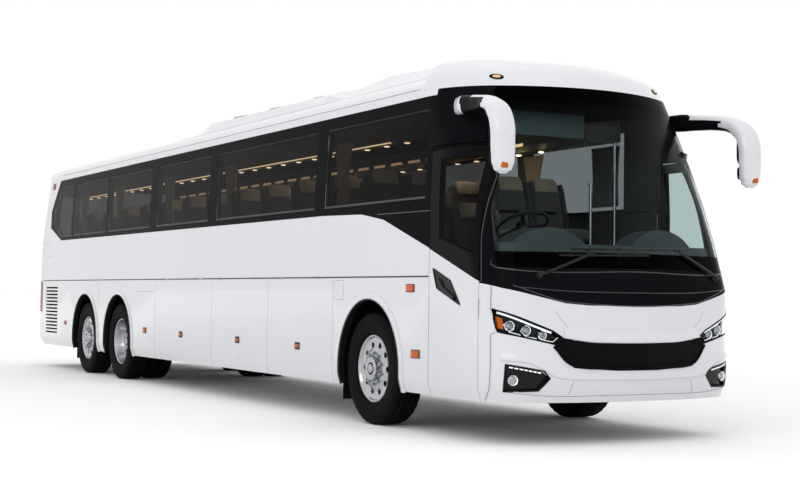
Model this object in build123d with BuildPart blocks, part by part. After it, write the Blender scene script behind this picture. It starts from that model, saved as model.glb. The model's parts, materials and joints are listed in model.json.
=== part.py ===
"""Three-axle coach bus, assembled from its real subcomponents.

Millimetres. +Z is up, the bus faces -Y and its right side is -X. The origin lies on the floor
under the middle of the overall box. Places along the bus are given as distances behind a datum
over the front wheels, so they are negative ahead of it.
"""

from build123d import *
import math
import os

# ------------------------------------------------------------------ driving dimensions
BODY_LENGTH = 14300          # bumper face to rear bumper
DATUM_BACK = 2450            # bumper face to the datum
AXLE_PLACES = (-50, 7500, 9060)   # front, drive and tag axle, behind the datum
HALF_WIDTH = 1275

PANEL_GAP = 8                # seam between a door or lid and the body round it
SEAT_GAP = 0.3               # between pieces that only lie against each other
WALL = 60                    # side wall, door and roof thickness, skin to lining
GLAZING = 14                 # outer layer of bonded glass and its black border

SILL_HEIGHT = 350
BELT_HEIGHT = 1378           # groove over the luggage doors
BAND_BOTTOM = 2000           # lower edge of the black window band
BAND_TOP = 2955
EAVES_HEIGHT = 3010          # top of the walls, where the roof begins
ROOF_CROWN = 3310
CAP_CROWN = 3340

TYRE_RADIUS = 522
TYRE_WIDTH = 295
RIM_RADIUS = 306
TWIN_SPACING = 340           # centre to centre of the twin drive tyres
TRACK_OFFSET = 1097          # outer tyre's centre plane from the middle of the bus
KINGPIN_OFFSET = 860
ARCH_RADIUS = 608
ARCH_TOP = 1165

FLOOR_TOP = 1420             # passenger deck
FLOOR_THICKNESS = 60
CAB_FLOOR_TOP = 1000         # driver's platform
HOLD_FLOOR_TOP = 440
HOLD_FLOOR_THICKNESS = 50

# places behind the datum
DOOR_REAR = -1170            # rear edge of the two front doors
DOOR_WIDTH = 810
DOOR_TOP = 2470
DOOR_LEAN = 140              # the doors' front edge leans back this far at its top
CAP_SEAM = -980              # front cap to roof
HOLD_EDGES = (710, 2300, 3940, 5940)   # luggage bay bulkheads
REAR_ARCH_END = 9900         # rear arch panel to engine side panel
DECK_FRONT = -750            # riser between the driver's platform and the passenger deck

NOSE = -BODY_LENGTH / 2
TAIL = NOSE + BODY_LENGTH
DATUM = NOSE + DATUM_BACK
FRONT_AXLE, DRIVE_AXLE, TAG_AXLE = (DATUM + place for place in AXLE_PLACES)
INNER_HALF = HALF_WIDTH - WALL
TOP = 4200                   # above everything
FAR = 9000                   # beyond either end

# body sections, bottom to top: height, nose set back, shoulder half-width, shoulder set back
# from the nose, half-width, tail set forward
BODY_SECTIONS = (
    (SILL_HEIGHT, 55, 1000, 153, 1245, 230),
    (455, 15, 1000, 153, HALF_WIDTH, 30),
    (620, 0, 1000, 153, HALF_WIDTH, 0),
    (1280, 10, 1000, 153, HALF_WIDTH, 30),
    (1700, 95, 970, 180, HALF_WIDTH, 65),
    (BAND_BOTTOM, 172, 950, 204, HALF_WIDTH, 115),
    (2300, 275, 925, 218, 1262, 205),
    (2650, 415, 900, 235, 1244, 310),
    (EAVES_HEIGHT, 575, 870, 250, 1222, 405),
)
TAIL_SHOULDER = 1060         # where the rear corners begin to turn
TAIL_BOW = 40

# front cap sections: height, nose set back, shoulder half-width, shoulder set back, half-width
CAP_SECTIONS = (
    (EAVES_HEIGHT, 575, 870, 250, 1222),
    (3120, 655, 862, 258, 1206),
    (3175, 715, 838, 259, 1172),
    (3240, 846, 803, 259, 1117),
    (3278, 971, 750, 217, 1045),
    (3300, 1058, 750, 193, 865),
    (CAP_CROWN, 1307, 446, 111, 610),
)


# ------------------------------------------------------------------ body form
def corner_point(inner, inner_y, turn, outer_x):
    """End and middle of a corner arc that leaves (inner, inner_y) at the angle turn from the
    cross direction and ends square to it at outer_x."""
    chord_angle = (turn + math.pi / 2) / 2
    run = outer_x - inner
    rise = run * math.tan(chord_angle)
    half_turn = (math.pi / 2 - turn) / 2
    sagitta = math.hypot(run, rise) / 2 * math.tan(half_turn / 2)
    middle = (
        inner + run / 2 + sagitta * math.sin(chord_angle),
        inner_y + rise / 2 - sagitta * math.cos(chord_angle),
    )
    return middle, (outer_x, inner_y + rise)


def plan_section(height, nose_y, shoulder, shoulder_y, half_width, tail_y, tail_shoulder, tail_bow):
    """Closed plan outline of the body at one height: bowed nose, round corners, straight sides."""
    turn = 2 * math.atan2(shoulder_y - nose_y, shoulder)
    middle, side = corner_point(shoulder, shoulder_y, turn, half_width)
    tail_turn = 2 * math.atan2(tail_bow, tail_shoulder)
    far_middle, far_side = corner_point(tail_shoulder, 0, tail_turn, half_width)
    tail_corner = tail_y - tail_bow
    with BuildSketch(Plane.XY.offset(height)) as section:
        with BuildLine():
            ThreePointArc((-shoulder, shoulder_y), (0, nose_y), (shoulder, shoulder_y))
            ThreePointArc((shoulder, shoulder_y), middle, side)
            Line(side, (half_width, tail_corner - far_side[1]))
            ThreePointArc(
                (half_width, tail_corner - far_side[1]),
                (far_middle[0], tail_corner - far_middle[1]),
                (tail_shoulder, tail_corner),
            )
            ThreePointArc((tail_shoulder, tail_corner), (0, tail_y), (-tail_shoulder, tail_corner))
            ThreePointArc(
                (-tail_shoulder, tail_corner),
                (-far_middle[0], tail_corner - far_middle[1]),
                (-half_width, tail_corner - far_side[1]),
            )
            Line((-half_width, tail_corner - far_side[1]), (-side[0], side[1]))
            ThreePointArc((-side[0], side[1]), (-middle[0], middle[1]), (-shoulder, shoulder_y))
        make_face()
    return section.sketch


def body_form(inset):
    """Solid of the whole body below the eaves, with every upright face moved in by inset."""
    with BuildPart() as form:
        for height, nose_back, shoulder, shoulder_back, half_width, tail_back in BODY_SECTIONS:
            add(plan_section(
                height,
                NOSE + nose_back + inset,
                shoulder - inset / 2,
                NOSE + nose_back + shoulder_back + inset,
                half_width - inset,
                TAIL - tail_back - inset,
                TAIL_SHOULDER - inset / 2,
                TAIL_BOW,
            ))
        loft(ruled=True)
    return form.part


def cap_form(inset):
    """Solid of the front roof cap, which narrows and rolls back as it rises."""
    back = DATUM + CAP_SEAM
    with BuildPart() as form:
        for height, nose_back, shoulder, shoulder_back, half_width in CAP_SECTIONS:
            nose_y = NOSE + nose_back + inset
            shoulder_y = nose_y + shoulder_back
            turn = 2 * math.atan2(shoulder_back, shoulder)
            middle, side = corner_point(shoulder, shoulder_y, turn, half_width - inset)
            scale = (back - shoulder_y) / max(side[1] - shoulder_y, back - shoulder_y)
            side = (side[0], shoulder_y + (side[1] - shoulder_y) * scale)
            middle = (middle[0], shoulder_y + (middle[1] - shoulder_y) * scale)
            with BuildSketch(Plane.XY.offset(height - inset)):
                with BuildLine():
                    ThreePointArc((-shoulder, shoulder_y), (0, nose_y), (shoulder, shoulder_y))
                    ThreePointArc((shoulder, shoulder_y), middle, side)
                    Line(side, (side[0], back + 1))
                    Line((side[0], back + 1), (-side[0], back + 1))
                    Line((-side[0], back + 1), (-side[0], side[1]))
                    ThreePointArc((-side[0], side[1]), (-middle[0], middle[1]), (-shoulder, shoulder_y))
                make_face()
        loft(ruled=True)
    return form.part


OUTER = body_form(0)
GLASS_BACK = body_form(GLAZING)
INNER = body_form(WALL)
SHELL = OUTER - INNER
SKIN = OUTER - GLASS_BACK


# ------------------------------------------------------------------ shared helpers
def aft(distance):
    """Place along the bus of a point that lies this far behind the datum."""
    return DATUM + distance


def side_prism(outline, side=-1):
    """Tool from the middle of the bus out past one side, or both for side 0, behind an outline
    of (distance aft, height) points."""
    with BuildPart() as prism:
        with BuildSketch(Plane.YZ):
            with BuildLine():
                Polyline([(aft(along), height) for along, height in outline], close=True)
            make_face()
        extrude(amount=side * FAR if side else FAR, both=not side)
    return prism.part


def end_prism(outline, end=-1):
    """Tool from the middle of the bus out past its front, or its rear for end 1, behind an
    outline of (across, height) points."""
    with BuildPart() as prism:
        with BuildSketch(Plane.XZ):
            with BuildLine():
                Polyline(*outline, close=True)
            make_face()
        extrude(amount=-end * FAR)
    return prism.part


def cut_by(source, tool):
    """The stretch of source inside a tool."""
    with BuildPart() as piece:
        add(source)
        add(tool, mode=Mode.INTERSECT)
    return piece.part


def cut_side(source, outline, side=-1):
    """The stretch of source behind an outline of (distance aft, height) points seen from one side."""
    return cut_by(source, side_prism(outline, side))


def cut_end(source, outline, end=-1):
    """The stretch of source behind an outline of (across, height) points seen from one end."""
    return cut_by(source, end_prism(outline, end))


def block(low, high):
    """A box between two opposite corners."""
    size = [b - a for a, b in zip(low, high)]
    centre = [(a + b) / 2 for a, b in zip(low, high)]
    with BuildPart(Plane(origin=centre)) as piece:
        Box(*size)
    return piece.part


def both_sides(outline):
    """A half outline of (across, height) points, closed by its mirror image."""
    return list(outline) + [(-across, height) for across, height in reversed(outline) if across]


def write(builder, name):
    """Labels a finished piece and writes it to its own file."""
    builder.part.label = name
    export_step(builder.part, f"parts/{name}.step")


os.makedirs("parts", exist_ok=True)

# ------------------------------------------------------------------ side openings
DOOR_FRONT = DOOR_REAR - DOOR_WIDTH
DOOR_SWOOP = 1330            # the doors' front edge is upright below this height


def door_outline(grow):
    """Side view of a front door, grown all round but at its sill."""
    return (
        (DOOR_REAR + grow, SILL_HEIGHT - 100),
        (DOOR_REAR + grow, DOOR_TOP + grow),
        (DOOR_FRONT + DOOR_LEAN - grow, DOOR_TOP + grow),
        (DOOR_FRONT - grow, DOOR_SWOOP),
        (DOOR_FRONT - grow, SILL_HEIGHT - 100),
    )


# black band outline: rear end, then along its lower edge to the swoop over the front wheel
BAND_OUTLINE = (
    (DOOR_REAR, BAND_TOP),
    (10660, BAND_TOP),
    (11070, 2490),
    (11060, 2215),
    (10410, BAND_BOTTOM),
    (960, BAND_BOTTOM - 15),
    (120, BAND_BOTTOM - 35),
    (-320, 1898),
    (DOOR_REAR, 1620),
)
WINDOW_BOTTOM = 2055
WINDOW_TOP = 2845
# side windows: front edge and rear edge, behind the datum
WINDOWS = ((-1080, 950), (1170, 3880), (4120, 5970), (6240, 8030), (8150, 9740))
REAR_WINDOW_OUTLINE = (
    (9880, WINDOW_BOTTOM),
    (10430, WINDOW_BOTTOM),
    (10900, 2220),
    (10900, 2480),
    (10580, WINDOW_TOP),
    (9880, WINDOW_TOP),
)
WALL_END_LOW = 11440         # the side walls end here at the belt, and lean forward above
WALL_END_HIGH = 10900
WALL_OUTLINE = (
    (DOOR_REAR, BELT_HEIGHT),
    (DOOR_REAR, EAVES_HEIGHT + 10),
    (WALL_END_HIGH, EAVES_HEIGHT + 10),
    (WALL_END_LOW - 100, 2300),
    (WALL_END_LOW, BAND_BOTTOM),
    (WALL_END_LOW, BELT_HEIGHT),
)


def window_outlines(shrink):
    """Side views of the windows, each pulled in all round."""
    shapes = [
        (
            (front + shrink, WINDOW_BOTTOM + shrink),
            (rear - shrink, WINDOW_BOTTOM + shrink),
            (rear - shrink, WINDOW_TOP - shrink),
            (front + shrink, WINDOW_TOP - shrink),
        )
        for front, rear in WINDOWS
    ]
    front, rear = REAR_WINDOW_OUTLINE[0][0], REAR_WINDOW_OUTLINE[2][0]
    shapes.append([
        (
            along + (shrink if along == front else -shrink),
            height + (shrink if height < (WINDOW_BOTTOM + WINDOW_TOP) / 2 else -shrink),
        )
        for along, height in REAR_WINDOW_OUTLINE
    ])
    return shapes


# ------------------------------------------------------------------ hinges on the skin
HINGE_OUT = 4                # hinge lines stand this far out of the side
BARREL_RADIUS, BARREL_PIN_RADIUS, BARREL_LENGTH, BARREL_EAR = 3.5, 1.5, 140, 14
BARREL_BORE = BARREL_PIN_RADIUS + SEAT_GAP
HINGE_X = -HALF_WIDTH - HINGE_OUT
LID_HINGE_HEIGHT = BELT_HEIGHT - PANEL_GAP / 2
LEAF_DEPTH, LEAF_HEIGHT = 12, 14
EAR_RISE = 8
DOOR_HINGE_HEIGHT = 1110     # middle of the front doors' hinges


def round_bar(plane, radius, length):
    """A round bar centred on a plane's origin, along its normal."""
    with BuildPart() as bar:
        with BuildSketch(plane):
            Circle(radius)
        extrude(amount=length / 2, both=True)
    return bar.part


def lid_hinge_places(front, rear):
    """Where a luggage door's two hinges lie, behind the datum."""
    return (front + (rear - front) / 5, rear - (rear - front) / 5)


def lid_hinge_plane(along):
    """Plane square to a right-hand luggage door's hinge line."""
    return Plane(origin=(HINGE_X, aft(along), LID_HINGE_HEIGHT), z_dir=(0, 1, 0))


def lid_hinge_pin(along):
    """Pin of a luggage door hinge with the two ears that hold it, on the right side."""
    with BuildPart() as pin:
        add(round_bar(lid_hinge_plane(along), BARREL_PIN_RADIUS, BARREL_LENGTH + 2 * BARREL_EAR))
        for end in (-1, 1):
            near = aft(along) + end * (BARREL_LENGTH / 2 + 1)
            far = aft(along) + end * (BARREL_LENGTH / 2 + BARREL_EAR)
            add(block(
                (HINGE_X - BARREL_RADIUS, min(near, far), LID_HINGE_HEIGHT - BARREL_PIN_RADIUS),
                (-HALF_WIDTH + LEAF_DEPTH, max(near, far), BELT_HEIGHT + EAR_RISE),
            ))
    return pin.part


def lid_hinge_eye(along):
    """Eye of a luggage door hinge on its leaf, on the right side."""
    with BuildPart() as eye:
        add(round_bar(lid_hinge_plane(along), BARREL_RADIUS, BARREL_LENGTH))
        add(block(
            (HINGE_X, aft(along) - BARREL_LENGTH / 2, LID_HINGE_HEIGHT - LEAF_HEIGHT),
            (-HALF_WIDTH + LEAF_DEPTH, aft(along) + BARREL_LENGTH / 2, LID_HINGE_HEIGHT),
        ))
        add(round_bar(lid_hinge_plane(along), BARREL_BORE, BARREL_LENGTH + 2), mode=Mode.SUBTRACT)
    return eye.part


DOOR_HINGE_PLANE = Plane(origin=(HINGE_X, aft(DOOR_FRONT), DOOR_HINGE_HEIGHT))


def door_hinge_pin():
    """Pin of the driver's door hinge with its two ears, which reach ahead into the front panel."""
    with BuildPart() as pin:
        add(round_bar(DOOR_HINGE_PLANE, BARREL_PIN_RADIUS, BARREL_LENGTH + 2 * BARREL_EAR))
        for end in (-1, 1):
            near = DOOR_HINGE_HEIGHT + end * (BARREL_LENGTH / 2 + 1)
            far = DOOR_HINGE_HEIGHT + end * (BARREL_LENGTH / 2 + BARREL_EAR)
            add(block(
                (HINGE_X - BARREL_RADIUS, aft(DOOR_FRONT) - LEAF_HEIGHT, min(near, far)),
                (-HALF_WIDTH + LEAF_DEPTH, aft(DOOR_FRONT) + BARREL_PIN_RADIUS, max(near, far)),
            ))
    return pin.part


def door_hinge_eye():
    """Eye of the driver's door hinge on its leaf, which reaches aft into the door."""
    low, high = DOOR_HINGE_HEIGHT - BARREL_LENGTH / 2, DOOR_HINGE_HEIGHT + BARREL_LENGTH / 2
    leaf_end = aft(DOOR_FRONT) + PANEL_GAP + LEAF_HEIGHT
    with BuildPart() as eye:
        add(round_bar(DOOR_HINGE_PLANE, BARREL_RADIUS, BARREL_LENGTH))
        add(block(
            (HINGE_X, aft(DOOR_FRONT), low),
            (HINGE_X + BARREL_RADIUS, leaf_end, high),
        ))
        add(block(
            (HINGE_X, aft(DOOR_FRONT) + PANEL_GAP - 2, low),
            (-HALF_WIDTH + LEAF_DEPTH, leaf_end, high),
        ))
        add(round_bar(DOOR_HINGE_PLANE, BARREL_BORE, BARREL_LENGTH + 2), mode=Mode.SUBTRACT)
    return eye.part


# ------------------------------------------------------------------ side walls and glazing
FRAME_LIP = 20               # the wall's window openings are this much smaller than the panes
with BuildPart() as side_wall_right:
    add(cut_side(SHELL, WALL_OUTLINE))
    add(cut_side(SKIN, BAND_OUTLINE), mode=Mode.SUBTRACT)
    for shape in window_outlines(FRAME_LIP):
        add(side_prism(shape), mode=Mode.SUBTRACT)
    for front, rear in zip(HOLD_EDGES, HOLD_EDGES[1:]):
        for along in lid_hinge_places(front, rear):
            add(lid_hinge_pin(along))
write(side_wall_right, "side_wall_right")

with BuildPart() as side_wall_left:
    mirror(side_wall_right.part, about=Plane.YZ)
write(side_wall_left, "side_wall_left")

with BuildPart() as glazing_bands:
    add(cut_side(SKIN, BAND_OUTLINE))
    for shape in window_outlines(-SEAT_GAP):
        add(side_prism(shape), mode=Mode.SUBTRACT)
    mirror(about=Plane.YZ)
write(glazing_bands, "glazing_bands")

with BuildPart() as side_glass:
    for shape in window_outlines(0):
        add(cut_side(SKIN, shape))
    mirror(about=Plane.YZ)
write(side_glass, "side_glass")

# ------------------------------------------------------------------ lower side panels
LID_TOP = BELT_HEIGHT - PANEL_GAP
PANEL_FOOT = SILL_HEIGHT - 50
# panels under the belt: front edge and rear edge behind the datum
ARCH_PANELS = (
    (DOOR_REAR, HOLD_EDGES[0] - PANEL_GAP / 2),
    (HOLD_EDGES[-1] + PANEL_GAP / 2, REAR_ARCH_END - SEAT_GAP),
)


def under_belt(front, rear, top=BELT_HEIGHT):
    """Side view of a panel from the sill to the belt."""
    return ((front, PANEL_FOOT), (front, top), (rear, top), (rear, PANEL_FOOT))


def arch_cut(axle):
    """Opening over one wheel: a half round on upright sides, through both side panels."""
    rise = ARCH_TOP - TYRE_RADIUS
    with BuildPart() as opening:
        with BuildSketch(Plane.YZ):
            with Locations((axle, TYRE_RADIUS)):
                Ellipse(ARCH_RADIUS, rise)
            with Locations((axle, TYRE_RADIUS / 2)):
                Rectangle(2 * ARCH_RADIUS, TYRE_RADIUS)
        extrude(amount=2 * HALF_WIDTH, both=True)
    return opening.part


with BuildPart() as arch_panels:
    for front, rear in ARCH_PANELS:
        add(cut_side(SHELL, under_belt(front, rear)))
    for axle in (FRONT_AXLE, DRIVE_AXLE, TAG_AXLE):
        add(arch_cut(axle), mode=Mode.SUBTRACT)
    mirror(about=Plane.YZ)
write(arch_panels, "arch_panels")

# engine side panels with their louvre slots
SLOT_ROWS = 14
SLOT_PITCH = 54
SLOT_HEIGHT = 26
SLOTS_FRONT, SLOTS_REAR = 10560, 11230
SLOTS_BOTTOM = 530
with BuildPart() as engine_side_panels:
    add(cut_side(SHELL, under_belt(REAR_ARCH_END, WALL_END_LOW)))
    with BuildSketch(Plane.YZ):
        with Locations((aft((SLOTS_FRONT + SLOTS_REAR) / 2), SLOTS_BOTTOM + SLOT_ROWS * SLOT_PITCH / 2)):
            with GridLocations(0, SLOT_PITCH, 1, SLOT_ROWS):
                Rectangle(SLOTS_REAR - SLOTS_FRONT, SLOT_HEIGHT)
    extrude(amount=-2 * HALF_WIDTH, mode=Mode.SUBTRACT)
    mirror(about=Plane.YZ)
write(engine_side_panels, "engine_side_panels")

# ------------------------------------------------------------------ luggage doors
for number, (front, rear) in enumerate(zip(HOLD_EDGES, HOLD_EDGES[1:]), start=1):
    with BuildPart() as luggage_door_right:
        add(cut_side(SHELL, under_belt(front + PANEL_GAP / 2, rear - PANEL_GAP / 2, LID_TOP)))
        for along in lid_hinge_places(front, rear):
            add(lid_hinge_eye(along))
    write(luggage_door_right, f"luggage_door_right_{number}")
    with BuildPart() as luggage_door_left:
        mirror(luggage_door_right.part, about=Plane.YZ)
    write(luggage_door_left, f"luggage_door_left_{number}")

# ------------------------------------------------------------------ front doors
# door glass: distance aft and height
DRIVER_GLASS = ((-1330, 1700), (-1330, 2380), (-1800, 2380), (-1880, 1560))
ENTRANCE_GLASS = ((-1290, 700), (-1290, 2380), (-1800, 2380), (-1880, 1560), (-1880, 700))


def front_door(glass_outline):
    """A front door leaf as thick as the wall, open where its glass goes."""
    leaf = cut_side(SHELL, door_outline(-PANEL_GAP))
    return leaf - side_prism(glass_outline) + door_hinge_eye()


with BuildPart() as driver_door:
    add(front_door(DRIVER_GLASS))
write(driver_door, "driver_door")

with BuildPart() as driver_door_glass:
    add(cut_side(SKIN, DRIVER_GLASS))
write(driver_door_glass, "driver_door_glass")

with BuildPart() as entrance_door:
    mirror(front_door(ENTRANCE_GLASS), about=Plane.YZ)
write(entrance_door, "entrance_door")

with BuildPart() as entrance_door_glass:
    mirror(cut_side(SKIN, ENTRANCE_GLASS), about=Plane.YZ)
write(entrance_door_glass, "entrance_door_glass")

# ------------------------------------------------------------------ front end
# front view outlines, half across: (distance from the middle, height)
PANEL_BREAK = 1142           # lower edge of the black cowl at the middle
COWL_TOP = 1447              # lower edge of the windscreen
WIDE = HALF_WIDTH + 50
COWL_BOTTOM = ((463, PANEL_BREAK), (677, 1158), (907, 1211), (1176, 1277), (1234, 1301), (WIDE, 1340))
SCREEN_SIDE = (
    (1175, COWL_TOP),
    (1184, 1499),
    (1154, 1847),
    (1108, 2203),
    (1051, 2571),
    (905, 2985),
    (870, EAVES_HEIGHT),
)
LAMP_OUTLINE = ((1228, 1106), (794, 934), (699, 872), (758, 823), (1200, 922))
GRILLE_OUTLINE = ((617, 858), (745, 816), (587, 677), (205, 652))
GRILLE_TOP = 838
BUMPER_TOP_SIDE = 925
FOG_OUTLINE = ((1153, 661), (863, 601), (810, 549), (901, 451), (1157, 442))


BEHIND_DOORS = (
    (DOOR_REAR - SEAT_GAP, 0),
    (DOOR_REAR - SEAT_GAP, TOP),
    (2 * FAR, TOP),
    (2 * FAR, 0),
)


def nose_part(source, outline):
    """The front stretch of source behind a front-view outline, cut clear of the doors."""
    with BuildPart() as piece:
        add(cut_end(source, outline))
        add(side_prism(door_outline(0), 0), mode=Mode.SUBTRACT)
        add(side_prism(BEHIND_DOORS, 0), mode=Mode.SUBTRACT)
    return piece.part


with BuildPart() as windscreen:
    add(nose_part(SKIN, both_sides(SCREEN_SIDE)))
write(windscreen, "windscreen")

with BuildPart() as cowl_panel:
    add(nose_part(SHELL, both_sides((*COWL_BOTTOM, (WIDE, COWL_TOP - 1)))))
write(cowl_panel, "cowl_panel")

ABOVE_COWL = both_sides(((0, COWL_TOP), (WIDE, COWL_TOP), (WIDE, EAVES_HEIGHT + 10), (0, EAVES_HEIGHT + 10)))
with BuildPart() as front_pillars:
    add(nose_part(SHELL, ABOVE_COWL))
    add(end_prism(both_sides(SCREEN_SIDE)), mode=Mode.SUBTRACT)
write(front_pillars, "front_pillars")

FRONT_TOP_EDGE = ((0, PANEL_BREAK), *COWL_BOTTOM)
FRONT_LOW_EDGE = (
    (WIDE, BUMPER_TOP_SIDE),
    (1200, BUMPER_TOP_SIDE),
    (758, 823),
    (745, 816),
    (617, 800),
    (0, 800),
)
GRILLE_OPENING = both_sides(((0, GRILLE_TOP), *GRILLE_OUTLINE))
LAMP_OPENINGS = (LAMP_OUTLINE, [(-x, z) for x, z in LAMP_OUTLINE])
FOG_OPENINGS = (FOG_OUTLINE, [(-x, z) for x, z in FOG_OUTLINE])
with BuildPart() as front_panel:
    add(nose_part(SHELL, both_sides((*FRONT_TOP_EDGE, *FRONT_LOW_EDGE))))
    for outline in (GRILLE_OPENING, *LAMP_OPENINGS):
        add(end_prism(outline), mode=Mode.SUBTRACT)
    add(door_hinge_pin())
    mirror(door_hinge_pin(), about=Plane.YZ)
write(front_panel, "front_panel")

with BuildPart() as front_bumper:
    add(nose_part(SHELL, both_sides((*FRONT_LOW_EDGE[::-1], (WIDE, PANEL_FOOT), (0, PANEL_FOOT)))))
    for outline in (GRILLE_OPENING, *LAMP_OPENINGS, *FOG_OPENINGS):
        add(end_prism(outline), mode=Mode.SUBTRACT)
write(front_bumper, "front_bumper")

with BuildPart() as grille:
    add(cut_end(SHELL, GRILLE_OPENING))
write(grille, "grille")

with BuildPart() as front_lamps:
    for outline in (LAMP_OUTLINE, FOG_OUTLINE):
        add(nose_part(SHELL, outline))
    mirror(about=Plane.YZ)
write(front_lamps, "front_lamps")

# ------------------------------------------------------------------ rear end
ENGINE_LID_HALF = 900
ENGINE_LID_BOTTOM, ENGINE_LID_TOP = 640, 1820
REAR_GLASS_HALF = 980
REAR_GLASS_BOTTOM, REAR_GLASS_TOP = 2080, 2860
REAR_BUMPER_TOP = 600
TAIL_LAMP_BOTTOM, TAIL_LAMP_TOP, TAIL_LAMP_INNER = 870, 1360, 1010


AHEAD_OF_REAR = (
    (-2 * FAR, 0),
    (-2 * FAR, TOP),
    (WALL_END_HIGH + PANEL_GAP / 2, TOP),
    (WALL_END_HIGH + PANEL_GAP / 2, EAVES_HEIGHT + 10),
    (WALL_END_LOW - 100 + PANEL_GAP / 2, 2300),
    (WALL_END_LOW + PANEL_GAP / 2, BAND_BOTTOM),
    (WALL_END_LOW + PANEL_GAP / 2, 0),
)


def rear_part(outline):
    """The rear stretch of the wall behind a rear-view outline, from the side walls' end back."""
    with BuildPart() as piece:
        add(cut_end(SHELL, outline, 1))
        add(side_prism(AHEAD_OF_REAR, 0), mode=Mode.SUBTRACT)
    return piece.part


def rectangle_points(half_width, bottom, top):
    """A centred rectangle in a front or rear view."""
    return ((-half_width, bottom), (-half_width, top), (half_width, top), (half_width, bottom))


LAMP_CORNER = (
    (TAIL_LAMP_INNER, TAIL_LAMP_BOTTOM),
    (WIDE, TAIL_LAMP_BOTTOM),
    (WIDE, TAIL_LAMP_TOP),
    (TAIL_LAMP_INNER, TAIL_LAMP_TOP),
)
LID_OPENING = rectangle_points(ENGINE_LID_HALF, ENGINE_LID_BOTTOM, ENGINE_LID_TOP)
GLASS_OPENING = rectangle_points(REAR_GLASS_HALF, REAR_GLASS_BOTTOM, REAR_GLASS_TOP)
LID_HINGE_X = 600            # the lid's two hinges, from the middle
HINGE_PIN_RADIUS, HINGE_EYE_RADIUS, HINGE_EYE_LENGTH, HINGE_EAR = 8, 16, 76, 40
LID_HINGE_Y, LID_HINGE_Z = TAIL - 70, ENGINE_LID_TOP - 2


def hinge_rod(radius, length, x):
    """A round bar on the lid's hinge line, centred at x."""
    with BuildPart() as rod:
        with BuildSketch(Plane.YZ.offset(x)):
            with Locations((LID_HINGE_Y, LID_HINGE_Z)):
                Circle(radius)
        extrude(amount=length / 2, both=True)
    return rod.part


with BuildPart() as rear_wall:
    add(rear_part(rectangle_points(WIDE, REAR_BUMPER_TOP, EAVES_HEIGHT + 10)))
    for outline in (LID_OPENING, GLASS_OPENING, LAMP_CORNER, [(-x, z) for x, z in LAMP_CORNER]):
        add(end_prism(outline, 1), mode=Mode.SUBTRACT)
    for x in (-LID_HINGE_X, LID_HINGE_X):
        add(hinge_rod(HINGE_PIN_RADIUS, HINGE_EYE_LENGTH + 2 * HINGE_EAR, x))
        for low in (x - HINGE_EYE_LENGTH / 2 - HINGE_EAR, x + HINGE_EYE_LENGTH / 2 + 2):
            add(block(
                (low, LID_HINGE_Y - 40, LID_HINGE_Z + 3),
                (low + HINGE_EAR - 2, LID_HINGE_Y + HINGE_PIN_RADIUS, LID_HINGE_Z + 32),
            ))
write(rear_wall, "rear_wall")

with BuildPart() as tail_lamps:
    for lamp in (LAMP_CORNER, [(-x, z) for x, z in LAMP_CORNER]):
        add(rear_part(lamp))
write(tail_lamps, "tail_lamps")

with BuildPart() as rear_window:
    pane = rectangle_points(
        REAR_GLASS_HALF - SEAT_GAP, REAR_GLASS_BOTTOM + SEAT_GAP, REAR_GLASS_TOP - SEAT_GAP
    )
    add(cut_end(SHELL, pane, 1))
write(rear_window, "rear_window")

with BuildPart() as rear_bumper:
    add(rear_part(rectangle_points(WIDE, SILL_HEIGHT - 50, REAR_BUMPER_TOP - SEAT_GAP)))
write(rear_bumper, "rear_bumper")

with BuildPart() as engine_lid:
    add(cut_end(
        SHELL,
        rectangle_points(
            ENGINE_LID_HALF - PANEL_GAP,
            ENGINE_LID_BOTTOM + PANEL_GAP,
            ENGINE_LID_TOP - PANEL_GAP,
        ),
        1,
    ))
    for x in (-LID_HINGE_X, LID_HINGE_X):
        add(hinge_rod(HINGE_EYE_RADIUS, HINGE_EYE_LENGTH, x))
        add(block(
            (x - HINGE_EYE_LENGTH / 2, LID_HINGE_Y - 42, LID_HINGE_Z - 40),
            (x + HINGE_EYE_LENGTH / 2, LID_HINGE_Y, LID_HINGE_Z - PANEL_GAP),
        ))
        add(hinge_rod(HINGE_PIN_RADIUS + SEAT_GAP, HINGE_EYE_LENGTH + 2, x), mode=Mode.SUBTRACT)
write(engine_lid, "engine_lid")

# ------------------------------------------------------------------ roof
ROOF_THICKNESS = 50
ROOF_SHOULDER = (1110, 3150)
ROOF_CORNER = (1187, 3093)
EAVES_HALF = BODY_SECTIONS[-1][4]


ROOF_REAR = TAIL - BODY_SECTIONS[-1][5]
ROOF_ROLL = 420              # the roof rolls over to the rear wall within this length


def roof_prism(inset, front, rear):
    """The roof's section, moved in by inset and run between two places."""
    eaves = (EAVES_HALF - inset, EAVES_HEIGHT)
    corner = (ROOF_CORNER[0] - inset, ROOF_CORNER[1] - inset / 2)
    shoulder = (ROOF_SHOULDER[0] - inset / 2, ROOF_SHOULDER[1] - inset)
    with BuildPart() as prism:
        with BuildSketch(Plane.XZ.offset(-front)):
            with BuildLine():
                ThreePointArc(eaves, corner, shoulder)
                ThreePointArc(shoulder, (0, ROOF_CROWN - inset), (-shoulder[0], shoulder[1]))
                ThreePointArc((-shoulder[0], shoulder[1]), (-corner[0], corner[1]), (-eaves[0], eaves[1]))
                Line((-eaves[0], eaves[1]), eaves)
            make_face()
        extrude(amount=-(rear - front))
    return prism.part


def roof_plan():
    """The roof's outline from above, its sides just outside the roof's own."""
    height, nose_back, shoulder, shoulder_back, half_width, tail_back = BODY_SECTIONS[-1]
    with BuildPart() as prism:
        add(plan_section(
            height, NOSE + nose_back, shoulder, NOSE + nose_back + shoulder_back, half_width + 1,
            TAIL - tail_back, TAIL_SHOULDER, TAIL_BOW,
        ))
        extrude(amount=TOP - height, both=True)
    return prism.part


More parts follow.
